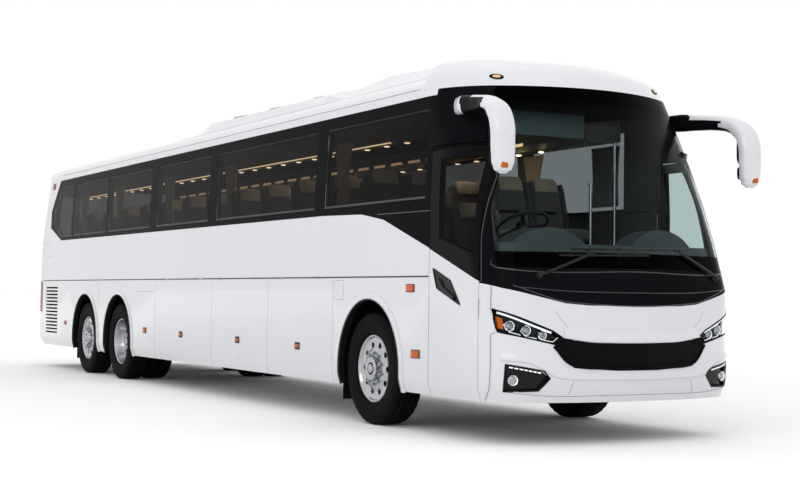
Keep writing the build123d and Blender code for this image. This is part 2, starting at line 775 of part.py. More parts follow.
def roof_tail():
    """Side view of the roof, rolled over at the rear."""
    crest = (ROOF_REAR - ROOF_ROLL, ROOF_CROWN + 20)
    with BuildPart() as prism:
        with BuildSketch(Plane.YZ):
            with BuildLine():
                Polyline(
                    crest,
                    (-FAR, crest[1]),
                    (-FAR, BAND_TOP),
                    (ROOF_REAR, BAND_TOP),
                    (ROOF_REAR, EAVES_HEIGHT),
                )
                ThreePointArc((ROOF_REAR, EAVES_HEIGHT), (ROOF_REAR - 90, 3200), crest)
            make_face()
        extrude(amount=2 * HALF_WIDTH, both=True)
    return prism.part


ROOF_FRONT = aft(CAP_SEAM) + PANEL_GAP
ROOF_OUTER = cut_by(cut_by(roof_prism(0, ROOF_FRONT, TAIL), roof_plan()), roof_tail())
with BuildPart() as roof:
    add(ROOF_OUTER)
    add(roof_prism(ROOF_THICKNESS, ROOF_FRONT - 1, ROOF_REAR - ROOF_ROLL + 120), mode=Mode.SUBTRACT)
write(roof, "roof")

with BuildPart() as front_cap:
    add(cap_form(0))
    add(cap_form(ROOF_THICKNESS), mode=Mode.SUBTRACT)
    add(block((-WIDE, NOSE, 0), (WIDE, 0, EAVES_HEIGHT)), mode=Mode.SUBTRACT)
write(front_cap, "front_cap")

# raised roof pieces: each section gives distance aft, half-width at its foot and at its top,
# shoulder height and crown height
FAIRING_SECTIONS = (
    (-960, 1090, 900, 3280, CAP_CROWN),
    (250, 1070, 900, 3325, 3390),
    (1310, 1020, 820, 3290, 3375),
)
UNIT_SECTIONS = (
    (1350, 1010, 840, 3220, 3335),
    (1650, 1030, 900, 3305, 3430),
    (5000, 1030, 900, 3325, 3460),
    (5640, 1000, 850, 3240, 3360),
)
POD_FOOT = 3100


def roof_pod(sections):
    """A moulded cover on the roof, through a few sections, cut to sit on the roof's skin."""
    with BuildPart() as pod:
        for along, foot, top, shoulder_height, crown in sections:
            with BuildSketch(Plane.XZ.offset(-aft(along))):
                with BuildLine():
                    Polyline(
                        (top, shoulder_height),
                        (foot, POD_FOOT),
                        (-foot, POD_FOOT),
                        (-top, shoulder_height),
                    )
                    ThreePointArc((-top, shoulder_height), (0, crown), (top, shoulder_height))
                make_face()
        loft(ruled=True)
        add(ROOF_OUTER, mode=Mode.SUBTRACT)
        add(block((-WIDE, -FAR, 0), (WIDE, FAR, EAVES_HEIGHT + 100)), mode=Mode.SUBTRACT)
    return pod.part


with BuildPart() as roof_fairing:
    add(roof_pod(FAIRING_SECTIONS))
write(roof_fairing, "roof_fairing")

with BuildPart() as air_conditioner:
    add(roof_pod(UNIT_SECTIONS))
write(air_conditioner, "air_conditioner")

# ------------------------------------------------------------------ floors and underframe
DECK_REAR = 11250
FLOOR_HALF = INNER_HALF - SEAT_GAP
RAIL_X, RAIL_WIDTH, RAIL_BOTTOM, RAIL_TOP = 430, 80, 620, 820
STEP_INNER = 520             # inner side of the entrance stairwell
STEP_TREADS = ((420, 1180), (700, 880))   # height and outer edge of each tread
TREAD_THICKNESS = 30
with BuildPart() as cabin_floor:
    with BuildSketch(Plane.YZ):
        with BuildLine():
            Polyline(
                [(aft(along), height) for along, height in (
                    (DECK_REAR, FLOOR_TOP),
                    (DECK_REAR, FLOOR_TOP - FLOOR_THICKNESS),
                    (DECK_FRONT + 60, FLOOR_TOP - FLOOR_THICKNESS),
                    (DECK_FRONT + 60, CAB_FLOOR_TOP - FLOOR_THICKNESS),
                    (-2100, CAB_FLOOR_TOP - FLOOR_THICKNESS),
                    (-2100, CAB_FLOOR_TOP),
                    (DECK_FRONT, CAB_FLOOR_TOP),
                    (DECK_FRONT, FLOOR_TOP),
                )],
                close=True,
            )
        make_face()
    extrude(amount=FLOOR_HALF, both=True)
    add(
        block((STEP_INNER, aft(DOOR_FRONT), 0), (2 * HALF_WIDTH, aft(DOOR_REAR), CAB_FLOOR_TOP + 1)),
        mode=Mode.SUBTRACT,
    )
    add(INNER, mode=Mode.INTERSECT)
    for rise, tread_outer in STEP_TREADS:
        underside = rise - TREAD_THICKNESS
        add(block((STEP_INNER, aft(DOOR_FRONT), underside), (tread_outer, aft(DOOR_REAR), rise)))
    add(block(
        (STEP_INNER - TREAD_THICKNESS, aft(DOOR_FRONT), STEP_TREADS[0][0] - TREAD_THICKNESS),
        (STEP_INNER, aft(DOOR_REAR), CAB_FLOOR_TOP),
    ))
write(cabin_floor, "cabin_floor")

HOLD_FRONT, HOLD_REAR = HOLD_EDGES[0] + 30, HOLD_EDGES[-1] - 30
HOLD_HALF = 1185
BULKHEAD = 30
with BuildPart() as luggage_hold:
    add(block(
        (-HOLD_HALF, aft(HOLD_FRONT), HOLD_FLOOR_TOP - HOLD_FLOOR_THICKNESS),
        (HOLD_HALF, aft(HOLD_REAR), HOLD_FLOOR_TOP),
    ))
    for edge in (HOLD_FRONT, HOLD_EDGES[1], HOLD_EDGES[2], HOLD_REAR - BULKHEAD):
        add(block(
            (-HOLD_HALF, aft(edge), HOLD_FLOOR_TOP),
            (HOLD_HALF, aft(edge) + BULKHEAD, FLOOR_TOP - FLOOR_THICKNESS),
        ))
write(luggage_hold, "luggage_hold")

FRAME_FRONT, FRAME_REAR = -2050, 11300
# posts on the rails under the two floors: distance aft and top
DECK_POSTS = (
    (-1900, CAB_FLOOR_TOP - FLOOR_THICKNESS),
    (-1000, CAB_FLOOR_TOP - FLOOR_THICKNESS),
    (-600, FLOOR_TOP - FLOOR_THICKNESS),
    (550, FLOOR_TOP - FLOOR_THICKNESS),
    (6100, FLOOR_TOP - FLOOR_THICKNESS),
    (7000, FLOOR_TOP - FLOOR_THICKNESS),
    (8400, FLOOR_TOP - FLOOR_THICKNESS),
    (9900, FLOOR_TOP - FLOOR_THICKNESS),
    (11190, FLOOR_TOP - FLOOR_THICKNESS),
)
TOW_EYE_RADIUS, TOW_LUG, TOW_LUG_LENGTH, TOW_WIDTH = 20, 30, 140, 110
TOW_LUGS = ((FRAME_FRONT - TOW_LUG_LENGTH, FRAME_FRONT), (FRAME_REAR, FRAME_REAR + TOW_LUG_LENGTH))
TOW_HEIGHT = (RAIL_BOTTOM + RAIL_TOP) / 2
with BuildPart() as underframe:
    for front, rear in ((FRAME_FRONT, HOLD_FRONT), (HOLD_REAR, FRAME_REAR)):
        for x in (-RAIL_X, RAIL_X):
            add(block(
                (x - RAIL_WIDTH / 2, aft(front), RAIL_BOTTOM),
                (x + RAIL_WIDTH / 2, aft(rear), RAIL_TOP),
            ))
    for along in (-1900, -600, 550, 6100, 7000, 8400, 9900, 11200):
        add(block((-RAIL_X, aft(along), RAIL_BOTTOM + 30), (RAIL_X, aft(along) + 60, RAIL_TOP - 30)))
    # flat towing lugs on the rail ends, each with an upright eye
    for front, rear in TOW_LUGS:
        for x in (-RAIL_X, RAIL_X):
            add(block(
                (x - TOW_WIDTH / 2, aft(front), TOW_HEIGHT - TOW_LUG / 2),
                (x + TOW_WIDTH / 2, aft(rear), TOW_HEIGHT + TOW_LUG / 2),
            ))
            with BuildSketch(Plane.XY.offset(TOW_HEIGHT)):
                with Locations((x, aft((front + rear) / 2))):
                    Circle(TOW_EYE_RADIUS)
            extrude(amount=TOW_LUG, both=True, mode=Mode.SUBTRACT)
    # pillars that carry the passenger deck and the driver's platform
    for along, top in DECK_POSTS:
        for x in (-RAIL_X, RAIL_X):
            add(block((x - 30, aft(along), RAIL_TOP), (x + 30, aft(along) + 60, top)))
write(underframe, "underframe")

HOUSING_INNER = 590
HOUSING_HALF = 690
FRONT_HOUSING_REAR = AXLE_PLACES[0] + HOUSING_HALF
REAR_HOUSING_FRONT = AXLE_PLACES[1] - HOUSING_HALF
REAR_HOUSING_REAR = AXLE_PLACES[2] + HOUSING_HALF
HOUSING_TOP = FLOOR_TOP - FLOOR_THICKNESS
HOUSING_FOOT = 480
AXLE_NOTCH = 150             # half width of the openings for the axles, and their height over the axle
STEER_NOTCH = 240            # height over the axle of the openings for the steered tyres' shoulders
SHEET = 10


def wheel_housing(front, rear):
    """Inner wheel arch of folded sheet, open below and to the side."""
    low = (-FLOOR_HALF, aft(front), HOUSING_FOOT)
    high = (-HOUSING_INNER, aft(rear), HOUSING_TOP)
    box = block(low, high)
    room = block((low[0], low[1] + SHEET, 0), (high[0] - SHEET, high[1] - SHEET, high[2] - SHEET))
    return box - room


with BuildPart() as wheel_housings:
    add(wheel_housing(DECK_FRONT + FLOOR_THICKNESS + SEAT_GAP, FRONT_HOUSING_REAR))
    add(wheel_housing(REAR_HOUSING_FRONT, REAR_HOUSING_REAR))
    mirror(about=Plane.YZ)
    # notches in the inner walls let the axles through
    for axle in (FRONT_AXLE, DRIVE_AXLE, TAG_AXLE):
        add(
            block(
                (-FLOOR_HALF, axle - AXLE_NOTCH, 0),
                (FLOOR_HALF, axle + AXLE_NOTCH, TYRE_RADIUS + AXLE_NOTCH),
            ),
            mode=Mode.SUBTRACT,
        )
    # the front ends stop above the shoulders of the steered tyres
    front_end = DECK_FRONT + FLOOR_THICKNESS + SEAT_GAP
    add(
        block(
            (-FLOOR_HALF, aft(front_end), 0),
            (FLOOR_HALF, aft(front_end) + SHEET, TYRE_RADIUS + STEER_NOTCH),
        ),
        mode=Mode.SUBTRACT,
    )
write(wheel_housings, "wheel_housings")

ENGINE_HALF = RAIL_X - RAIL_WIDTH / 2
with BuildPart() as engine:
    add(block((-ENGINE_HALF, aft(10000), 560), (ENGINE_HALF, aft(11100), 1300)))
write(engine, "engine")

# ------------------------------------------------------------------ axles and wheels
BORE_RADIUS = 60             # the rims' middle hole
SPINDLE_RADIUS = BORE_RADIUS - SEAT_GAP
SPINDLE_END = TRACK_OFFSET + 60
AXLE_RADIUS = 75
DRIVE_TUBE_HALF, DRIVE_SPINDLE_END = 560, 1130
TAG_TUBE_HALF = 880
PIN_RADIUS, PIN_HALF = 50, 75
YOKE_THICKNESS = 40
YOKE_CLEARANCE = 10
BEAM_HALF = 50
with BuildPart() as axles:
    yoke_inner = KINGPIN_OFFSET - PIN_RADIUS - YOKE_CLEARANCE
    yoke_low = TYRE_RADIUS - PIN_HALF - SEAT_GAP - YOKE_THICKNESS
    yoke_high = TYRE_RADIUS + PIN_HALF + SEAT_GAP + YOKE_THICKNESS
    beam_front, beam_rear = FRONT_AXLE - BEAM_HALF, FRONT_AXLE + BEAM_HALF
    yoke_outer = KINGPIN_OFFSET + 40
    add(block((-yoke_inner, beam_front, yoke_low), (yoke_inner, beam_rear, yoke_low + 2 * PIN_HALF)))
    for side in (-1, 1):
        inner, outer = sorted((side * yoke_inner, side * (yoke_inner - 60)))
        add(block((inner, beam_front, yoke_low), (outer, beam_rear, yoke_high)))
        inner, outer = sorted((side * yoke_inner, side * yoke_outer))
        for low in (yoke_low, yoke_high - YOKE_THICKNESS):
            add(block((inner, beam_front, low), (outer, beam_rear, low + YOKE_THICKNESS)))
    for axle, half in ((DRIVE_AXLE, DRIVE_TUBE_HALF), (TAG_AXLE, TAG_TUBE_HALF)):
        with BuildSketch(Plane.YZ):
            with Locations((axle, TYRE_RADIUS)):
                Circle(AXLE_RADIUS)
        extrude(amount=half, both=True)
        with BuildSketch(Plane.YZ):
            with Locations((axle, TYRE_RADIUS)):
                Circle(SPINDLE_RADIUS)
        extrude(amount=SPINDLE_END if axle == TAG_AXLE else DRIVE_SPINDLE_END, both=True)
    # the drive axle's gear casing
    with BuildSketch(Plane.YZ):
        with Locations((DRIVE_AXLE, TYRE_RADIUS)):
            Circle(200)
    extrude(amount=150, both=True)
    for axle in (FRONT_AXLE, DRIVE_AXLE, TAG_AXLE):
        for x in (-RAIL_X, RAIL_X):
            add(block((x - 60, axle - 60, 500), (x + 60, axle + 60, RAIL_BOTTOM)))
write(axles, "axles")

# front wheel carriers turn about the kingpins
with BuildPart() as knuckle_right:
    with Locations((-KINGPIN_OFFSET, FRONT_AXLE, TYRE_RADIUS)):
        Cylinder(PIN_RADIUS, 2 * PIN_HALF)
    with BuildSketch(Plane.YZ.offset(-KINGPIN_OFFSET)):
        with Locations((FRONT_AXLE, TYRE_RADIUS)):
            Circle(SPINDLE_RADIUS)
    extrude(amount=KINGPIN_OFFSET - SPINDLE_END)
write(knuckle_right, "knuckle_right")
with BuildPart() as knuckle_left:
    mirror(knuckle_right.part, about=Plane.YZ)
write(knuckle_left, "knuckle_left")

TREAD_HALF = 122
BEAD_HALF = 112
SHOULDER_DROP = 28
WAIST_RADIUS = 415


def tyre_ring():
    """One tyre about the X axis, its middle plane at x = 0."""
    half = TYRE_WIDTH / 2
    shoulder = TYRE_RADIUS - SHOULDER_DROP
    with BuildPart() as ring:
        with BuildSketch(Plane.XY):
            with BuildLine():
                Line((-TREAD_HALF, TYRE_RADIUS), (TREAD_HALF, TYRE_RADIUS))
                Line((TREAD_HALF, TYRE_RADIUS), (half - 8, shoulder))
                ThreePointArc((half - 8, shoulder), (half, WAIST_RADIUS), (BEAD_HALF, RIM_RADIUS))
                Line((BEAD_HALF, RIM_RADIUS), (-BEAD_HALF, RIM_RADIUS))
                ThreePointArc((-BEAD_HALF, RIM_RADIUS), (-half, WAIST_RADIUS), (8 - half, shoulder))
                Line((8 - half, shoulder), (-TREAD_HALF, TYRE_RADIUS))
            make_face()
        revolve(axis=Axis.X)
    return ring.part


# rim disc sections as (outward from the tyre's middle plane, radius) points
FLAT_RIM = (
    (112, RIM_RADIUS),
    (112, RIM_RADIUS - 10),
    (96, RIM_RADIUS - 20),
    (86, 215),
    (104, 165),
    (104, 120),
    (150, 108),
    (150, BORE_RADIUS),
    (0, BORE_RADIUS),
    (0, 250),
    (-112, RIM_RADIUS - 20),
    (-112, RIM_RADIUS),
)
DEEP_RIM = (
    (112, RIM_RADIUS),
    (112, RIM_RADIUS - 10),
    (20, 272),
    (-20, 258),
    (-30, 170),
    (-30, 120),
    (40, 112),
    (40, BORE_RADIUS),
    (-60, BORE_RADIUS),
    (-60, 250),
    (-112, RIM_RADIUS - 20),
    (-112, RIM_RADIUS),
)
HAND_HOLES = 10
HAND_HOLE_RADIUS, HAND_HOLE_PITCH = 27, 226


def rim_disc(section):
    """One rim about the X axis, its outer face towards +X."""
    with BuildPart() as disc:
        with BuildSketch(Plane.XY):
            with BuildLine():
                Polyline([(out, min(radius, RIM_RADIUS - SEAT_GAP)) for out, radius in section], close=True)
            make_face()
        revolve(axis=Axis.X)
        with BuildSketch(Plane.YZ):
            with PolarLocations(HAND_HOLE_PITCH, HAND_HOLES):
                Circle(HAND_HOLE_RADIUS)
        extrude(amount=TYRE_WIDTH, both=True, mode=Mode.SUBTRACT)
    return disc.part


TYRE = tyre_ring()
RIM_OUT = rim_disc(FLAT_RIM)
RIM_DEEP = rim_disc(DEEP_RIM)
# wheels: name, axle place, rim, twin
WHEELS = (
    ("front", FRONT_AXLE, RIM_OUT, False),
    ("drive", DRIVE_AXLE, RIM_DEEP, True),
    ("tag", TAG_AXLE, RIM_OUT, False),
)
for wheel_name, axle, rim_form, twin in WHEELS:
    with BuildPart() as rim_left:
        with Locations((TRACK_OFFSET, axle, TYRE_RADIUS)):
            add(rim_form)
        if twin:
            with Locations((TRACK_OFFSET - TWIN_SPACING, axle, TYRE_RADIUS)):
                add(rim_form)
    with BuildPart() as tyre_left:
        with Locations((TRACK_OFFSET, axle, TYRE_RADIUS)):
            add(TYRE)
        if twin:
            with Locations((TRACK_OFFSET - TWIN_SPACING, axle, TYRE_RADIUS)):
                add(TYRE)
    write(rim_left, f"rim_{wheel_name}_left")
    write(tyre_left, f"tyre_{wheel_name}_left")
    with BuildPart() as rim_right:
        mirror(rim_left.part, about=Plane.YZ)
    with BuildPart() as tyre_right:
        mirror(tyre_left.part, about=Plane.YZ)
    write(rim_right, f"rim_{wheel_name}_right")
    write(tyre_right, f"tyre_{wheel_name}_right")

# ------------------------------------------------------------------ interior
SEAT_ROWS = 13
SEAT_PITCH = 830
FIRST_ROW = -250             # cushion front of the first row
SEAT_INNER, SEAT_OUTER = 270, 1170
CUSHION_HEIGHT = FLOOR_TOP + 430
CUSHION_BOTTOM = CUSHION_HEIGHT - 130
BACK_TOP = FLOOR_TOP + 1020
CUSHION_DEPTH = 450
BACK_LEAN = 130
with BuildPart() as passenger_seats:
    for row in range(SEAT_ROWS):
        front = aft(FIRST_ROW + row * SEAT_PITCH)
        cushion = (
            (front, CUSHION_BOTTOM),
            (front, CUSHION_HEIGHT),
            (front + CUSHION_DEPTH, CUSHION_HEIGHT - 20),
            (front + CUSHION_DEPTH, CUSHION_BOTTOM),
        )
        back = (
            (front + CUSHION_DEPTH + SEAT_GAP, CUSHION_BOTTOM),
            (front + CUSHION_DEPTH + SEAT_GAP, CUSHION_HEIGHT - 20),
            (front + CUSHION_DEPTH + BACK_LEAN, BACK_TOP),
            (front + CUSHION_DEPTH + BACK_LEAN + 90, BACK_TOP),
            (front + CUSHION_DEPTH + 110, CUSHION_BOTTOM),
        )
        for outline in (cushion, back):
            with BuildSketch(Plane.YZ.offset(-SEAT_OUTER)):
                with BuildLine():
                    Polyline(*outline, close=True)
                make_face()
            extrude(amount=SEAT_OUTER - SEAT_INNER)
        for x in (-SEAT_OUTER + 130, -SEAT_INNER - 130):
            add(block(
                (x - 25, front + 80, FLOOR_TOP),
                (x + 25, front + CUSHION_DEPTH, CUSHION_BOTTOM - SEAT_GAP),
            ))
    mirror(about=Plane.YZ)
write(passenger_seats, "passenger_seats")

DRIVER_X = -640
DRIVER_SEAT_FRONT = -1420
DRIVER_CUSHION_BOTTOM = 1350
with BuildPart() as driver_seat:
    front = aft(DRIVER_SEAT_FRONT)
    cushion = (
        (front, DRIVER_CUSHION_BOTTOM),
        (front, 1480),
        (front + 460, 1460),
        (front + 460, DRIVER_CUSHION_BOTTOM),
    )
    back = (
        (front + 460 + SEAT_GAP, DRIVER_CUSHION_BOTTOM),
        (front + 460 + SEAT_GAP, 1460),
        (front + 560, 2150),
        (front + 650, 2150),
        (front + 570, DRIVER_CUSHION_BOTTOM),
    )
    for outline in (cushion, back):
        with BuildSketch(Plane.YZ.offset(DRIVER_X - 250)):
            with BuildLine():
                Polyline(*outline, close=True)
            make_face()
        extrude(amount=500)
    add(block(
        (DRIVER_X - 150, front + 120, CAB_FLOOR_TOP),
        (DRIVER_X + 150, front + 420, DRIVER_CUSHION_BOTTOM - SEAT_GAP),
    ))
write(driver_seat, "driver_seat")

DASH_BACK = -1780
DASH_GAP = 12                # to the lining, so the doors swing clear
# the steering wheel turns about its own leaning column
WHEEL_LEAN = 28
HUB_RADIUS, HUB_HALF = 55, 20
COLUMN_RADIUS, COLUMN_LENGTH = 40, 315
HUB_CENTRE = (DRIVER_X, aft(-1660), 1815)
STEERING_PLANE = Plane(
    origin=HUB_CENTRE,
    x_dir=(1, 0, 0),
    z_dir=(0, math.sin(math.radians(WHEEL_LEAN)), math.cos(math.radians(WHEEL_LEAN))),
)
with BuildPart() as dashboard:
    with BuildSketch(Plane.YZ):
        with BuildLine():
            Polyline(
                [(aft(along), height) for along, height in (
                    (-2330, 1420), (-2100, 1650), (-1960, 1660), (DASH_BACK, 1640), (DASH_BACK - 60, 1350),
                    (-2080, 1250), (-2080, CAB_FLOOR_TOP), (-2150, CAB_FLOOR_TOP), (-2330, 1300),
                )],
                close=True,
            )
        make_face()
    extrude(amount=HALF_WIDTH, both=True)
    for x, half, top in ((-620, 430, 1790), (560, 360, 1800)):
        with BuildSketch(Plane.XZ.offset(-aft(DASH_BACK))):
            with BuildLine():
                ThreePointArc((x - half, 1600), (x, top), (x + half, 1600))
                Line((x + half, 1600), (x - half, 1600))
            make_face()
        extrude(amount=260)
    add(body_form(WALL + DASH_GAP), mode=Mode.INTERSECT)
    with BuildSketch(STEERING_PLANE.offset(-HUB_HALF - SEAT_GAP)):
        Circle(COLUMN_RADIUS)
    extrude(amount=-COLUMN_LENGTH)
write(dashboard, "dashboard")

with BuildPart() as steering_wheel:
    with BuildSketch(Plane.XZ):
        with Locations((225, 0)):
            Circle(16)
    revolve(axis=Axis.Z)
    Cylinder(HUB_RADIUS, 2 * HUB_HALF)
    with PolarLocations(115, 3):
        Box(220, 32, 14)
with BuildPart() as placed_wheel:
    add(STEERING_PLANE * steering_wheel.part)
write(placed_wheel, "steering_wheel")

RACK_INNER, RACK_BOTTOM, RACK_TOP = 760, 2700, 2900
with BuildPart() as luggage_racks:
    with BuildSketch(Plane.XZ.offset(-aft(DECK_FRONT + 100))):
        with BuildLine():
            Polyline(
                (INNER_HALF + 40, RACK_BOTTOM + 40),
                (RACK_INNER + 60, RACK_BOTTOM),
                (RACK_INNER, RACK_BOTTOM + 60),
                (RACK_INNER + 20, RACK_TOP), (INNER_HALF + 40, RACK_TOP + 60), close=True,
            )
        make_face()
    extrude(amount=-(DECK_REAR - DECK_FRONT - 300))
    add(INNER, mode=Mode.INTERSECT)
    mirror(about=Plane.YZ)
write(luggage_racks, "luggage_racks")

# ------------------------------------------------------------------ outside fittings
MIRROR_X = 1290
MIRROR_WIDTH, MIRROR_DEPTH = 235, 160
MIRROR_BACK = -2310          # middle of the mirror heads
HEAD_TOP, HEAD_BOTTOM = 2740, 2180
ARM_INNER, ARM_OUTER = 1150, 1300
# side view of an arm, from its root on the pillar to the head
MIRROR_ARM = (
    (-1380, 2930),
    (-1760, 2905),
    (-2290, 2800),
    (-2380, 2700),
    (-2240, 2640),
    (-1700, 2735),
    (-1380, 2760),
)
with BuildPart() as mirrors:
    with BuildSketch(Plane.XY.offset(HEAD_BOTTOM)):
        with Locations((MIRROR_X, aft(MIRROR_BACK))):
            RectangleRounded(MIRROR_WIDTH, MIRROR_DEPTH, 60)
    extrude(amount=HEAD_TOP - HEAD_BOTTOM)
    with BuildSketch(Plane.YZ.offset(ARM_INNER)):
        with BuildLine():
            Polyline([(aft(along), height) for along, height in MIRROR_ARM], close=True)
        make_face()
    extrude(amount=ARM_OUTER - ARM_INNER)
    add(OUTER, mode=Mode.SUBTRACT)
    mirror(about=Plane.YZ)
write(mirrors, "mirrors")

# wipers: pivot, arm end and blade ends as seen from ahead, (across, height)
WIPERS = (
    ((-900, 1372), (-403, 1573), (-705, 1545), (140, 1560)),
    ((985, 1368), (497, 1595), (-590, 1600), (610, 1615)),
)
BLADE_DEPTH, BLADE_WIDTH, ARM_WIDTH = 22, 26, 30
BLADE_LAYER = body_form(-BLADE_DEPTH) - body_form(-SEAT_GAP)
ARM_LAYER = body_form(-2 * BLADE_DEPTH) - body_form(-BLADE_DEPTH)
BOSS_LAYER = body_form(-2 * BLADE_DEPTH) - body_form(-SEAT_GAP)


def strip_outline(start, end, width):
    """A straight strip between two points of a front view."""
    run, rise = end[0] - start[0], end[1] - start[1]
    length = math.hypot(run, rise)
    across, up = -rise / length * width / 2, run / length * width / 2
    return (
        (start[0] + across, start[1] + up),
        (end[0] + across, end[1] + up),
        (end[0] - across, end[1] - up),
        (start[0] - across, start[1] - up),
    )


with BuildPart() as wipers:
    for pivot, arm_end, blade_start, blade_end in WIPERS:
        add(cut_end(BLADE_LAYER, strip_outline(blade_start, blade_end, BLADE_WIDTH)))
        add(cut_end(ARM_LAYER, strip_outline(pivot, arm_end, ARM_WIDTH)))
        add(cut_end(BOSS_LAYER, strip_outline((pivot[0] - 30, pivot[1]), (pivot[0] + 30, pivot[1]), 60)))
write(wipers, "wipers")

FLAP_THICKNESS = 12
with BuildPart() as mud_flaps:
    for along in (FRONT_HOUSING_REAR, REAR_HOUSING_REAR):
        add(block(
            (-HOLD_HALF + 5, aft(along), 190),
            (-HOUSING_INNER - 210, aft(along) + FLAP_THICKNESS, HOUSING_FOOT + 80),
        ))
    mirror(about=Plane.YZ)
write(mud_flaps, "mud_flaps")
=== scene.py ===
"""A full-size three-axle coach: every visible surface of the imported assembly, and its finer pieces."""

import json
import math

import bmesh
import bpy
from mathutils import Matrix, Vector
from mathutils.bvhtree import BVHTree


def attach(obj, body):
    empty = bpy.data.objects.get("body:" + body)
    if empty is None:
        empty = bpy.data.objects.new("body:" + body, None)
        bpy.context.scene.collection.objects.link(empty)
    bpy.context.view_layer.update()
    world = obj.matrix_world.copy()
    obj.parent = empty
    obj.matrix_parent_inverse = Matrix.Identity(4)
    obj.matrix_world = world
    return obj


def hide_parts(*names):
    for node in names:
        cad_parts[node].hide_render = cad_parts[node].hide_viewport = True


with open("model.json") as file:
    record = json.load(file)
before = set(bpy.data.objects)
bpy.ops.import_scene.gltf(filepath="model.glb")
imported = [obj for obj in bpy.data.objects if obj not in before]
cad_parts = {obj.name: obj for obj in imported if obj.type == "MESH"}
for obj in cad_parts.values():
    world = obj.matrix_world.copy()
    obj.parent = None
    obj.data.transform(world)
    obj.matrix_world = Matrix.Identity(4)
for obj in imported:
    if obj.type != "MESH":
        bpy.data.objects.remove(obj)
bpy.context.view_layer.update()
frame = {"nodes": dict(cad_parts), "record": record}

NODES = frame["nodes"]
RECORD = frame["record"]

# ------------------------------------------------------------------ camera
# Long lens at eye height, off the right front corner.
camera = bpy.data.objects.new("camera", bpy.data.cameras.new("camera"))
bpy.context.scene.collection.objects.link(camera)
bpy.context.scene.camera = camera
camera.data.sensor_width = 36
camera.data.lens = 64.95
camera.data.clip_end = 200
yaw, pitch, roll = math.radians(28.737), math.radians(1.812), math.radians(0.674)
ahead = Vector((math.sin(yaw) * math.cos(pitch), math.cos(yaw) * math.cos(pitch), math.sin(pitch)))
across = Vector((math.cos(yaw), -math.sin(yaw), 0))
up = across.cross(ahead)
turned_across = math.cos(roll) * across + math.sin(roll) * up
turned_up = math.cos(roll) * up - math.sin(roll) * across
camera.matrix_world = Matrix.Translation((-7.497, -16.693, 1.213)) @ Matrix(
    (turned_across, turned_up, -ahead)
).transposed().to_4x4()

bpy.context.scene.view_settings.view_transform = "Standard"

# ------------------------------------------------------------------ floor and light
# A white studio: an endless pale floor, a bright dome and broad soft boxes. What the lens, gloss
# and glass see of the dome is plain white.
world = bpy.data.worlds.new("studio")
bpy.context.scene.world = world
world.use_nodes = True
SKY = 0.86


def tree_node(tree, kind, values=(), **settings):
    """A shader node with its settings, and its input sockets' values or links by name or number."""
    node = tree.nodes.new("ShaderNode" + kind)
    for name, value in settings.items():
        setattr(node, name, value)
    for socket, value in dict(values).items():
        if isinstance(value, bpy.types.NodeSocket):
            tree.links.new(value, node.inputs[socket])
        else:
            node.inputs[socket].default_value = value
    return node


def seen_rays(tree):
    """A mask of the rays that the lens, a glossy surface or a clear one sends out."""
    rays = tree_node(tree, "LightPath")
    looked = tree_node(
        tree, "Math", {0: rays.outputs["Is Camera Ray"], 1: rays.outputs["Is Glossy Ray"]},
        operation="MAXIMUM"
    )
    return tree_node(
        tree, "Math", {0: looked.outputs[0], 1: rays.outputs["Is Transmission Ray"]}, operation="MAXIMUM"
    ).outputs[0]


dome = world.node_tree
dome.nodes["Background"].inputs["Color"].default_value = (1, 1, 1, 1)
dome_level = tree_node(dome, "MapRange", {"Value": seen_rays(dome), "To Min": SKY, "To Max": 1.0})
dome.links.new(dome_level.outputs["Result"], dome.nodes["Background"].inputs["Strength"])


def soft_box(name, place, aim, size, power):
    """A square area light that looks at a point."""
    data = bpy.data.lights.new(name, "AREA")
    data.shape = "RECTANGLE"
    data.size, data.size_y = size
    data.energy = power
    lamp = bpy.data.objects.new(name, data)
    bpy.context.scene.collection.objects.link(lamp)
    lamp.location = place
    lamp.rotation_euler = (Vector(aim) - Vector(place)).to_track_quat("-Z", "Y").to_euler()
    return lamp


soft_box("key_box", (-10, -14, 8), (0, -4, 1.2), (9, 6), 300)
soft_box("roof_box", (0, 0, 13), (0, 0, 0), (12, 26), 120)


def clean_material(name):
    """A new material with its Principled shader, and the shader's sockets by name."""
    material = bpy.data.materials.new(name)
    material.use_nodes = True
    return material, material.node_tree.nodes["Principled BSDF"]


def new_piece(name, mesh, material, body="coach", smooth=40):
    """An object from a bmesh, with its material, its body and smooth shading up to an angle."""
    data = bpy.data.meshes.new(name)
    mesh.to_mesh(data)
    mesh.free()
    piece = bpy.data.objects.new(name, data)
    bpy.context.scene.collection.objects.link(piece)
    data.materials.append(material)
    smooth_shading(piece, smooth)
    if body:
        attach(piece, body)
    return piece


def smooth_shading(piece, angle):
    """Smooth faces, with a crease wherever two faces meet at more than an angle in degrees."""
    data = piece.data
    for polygon in data.polygons:
        polygon.use_smooth = True
    if "custom_normal" in data.attributes:
        data.attributes.remove(data.attributes["custom_normal"])
    crease = piece.modifiers.new("creases", "EDGE_SPLIT")
    crease.split_angle = math.radians(angle)


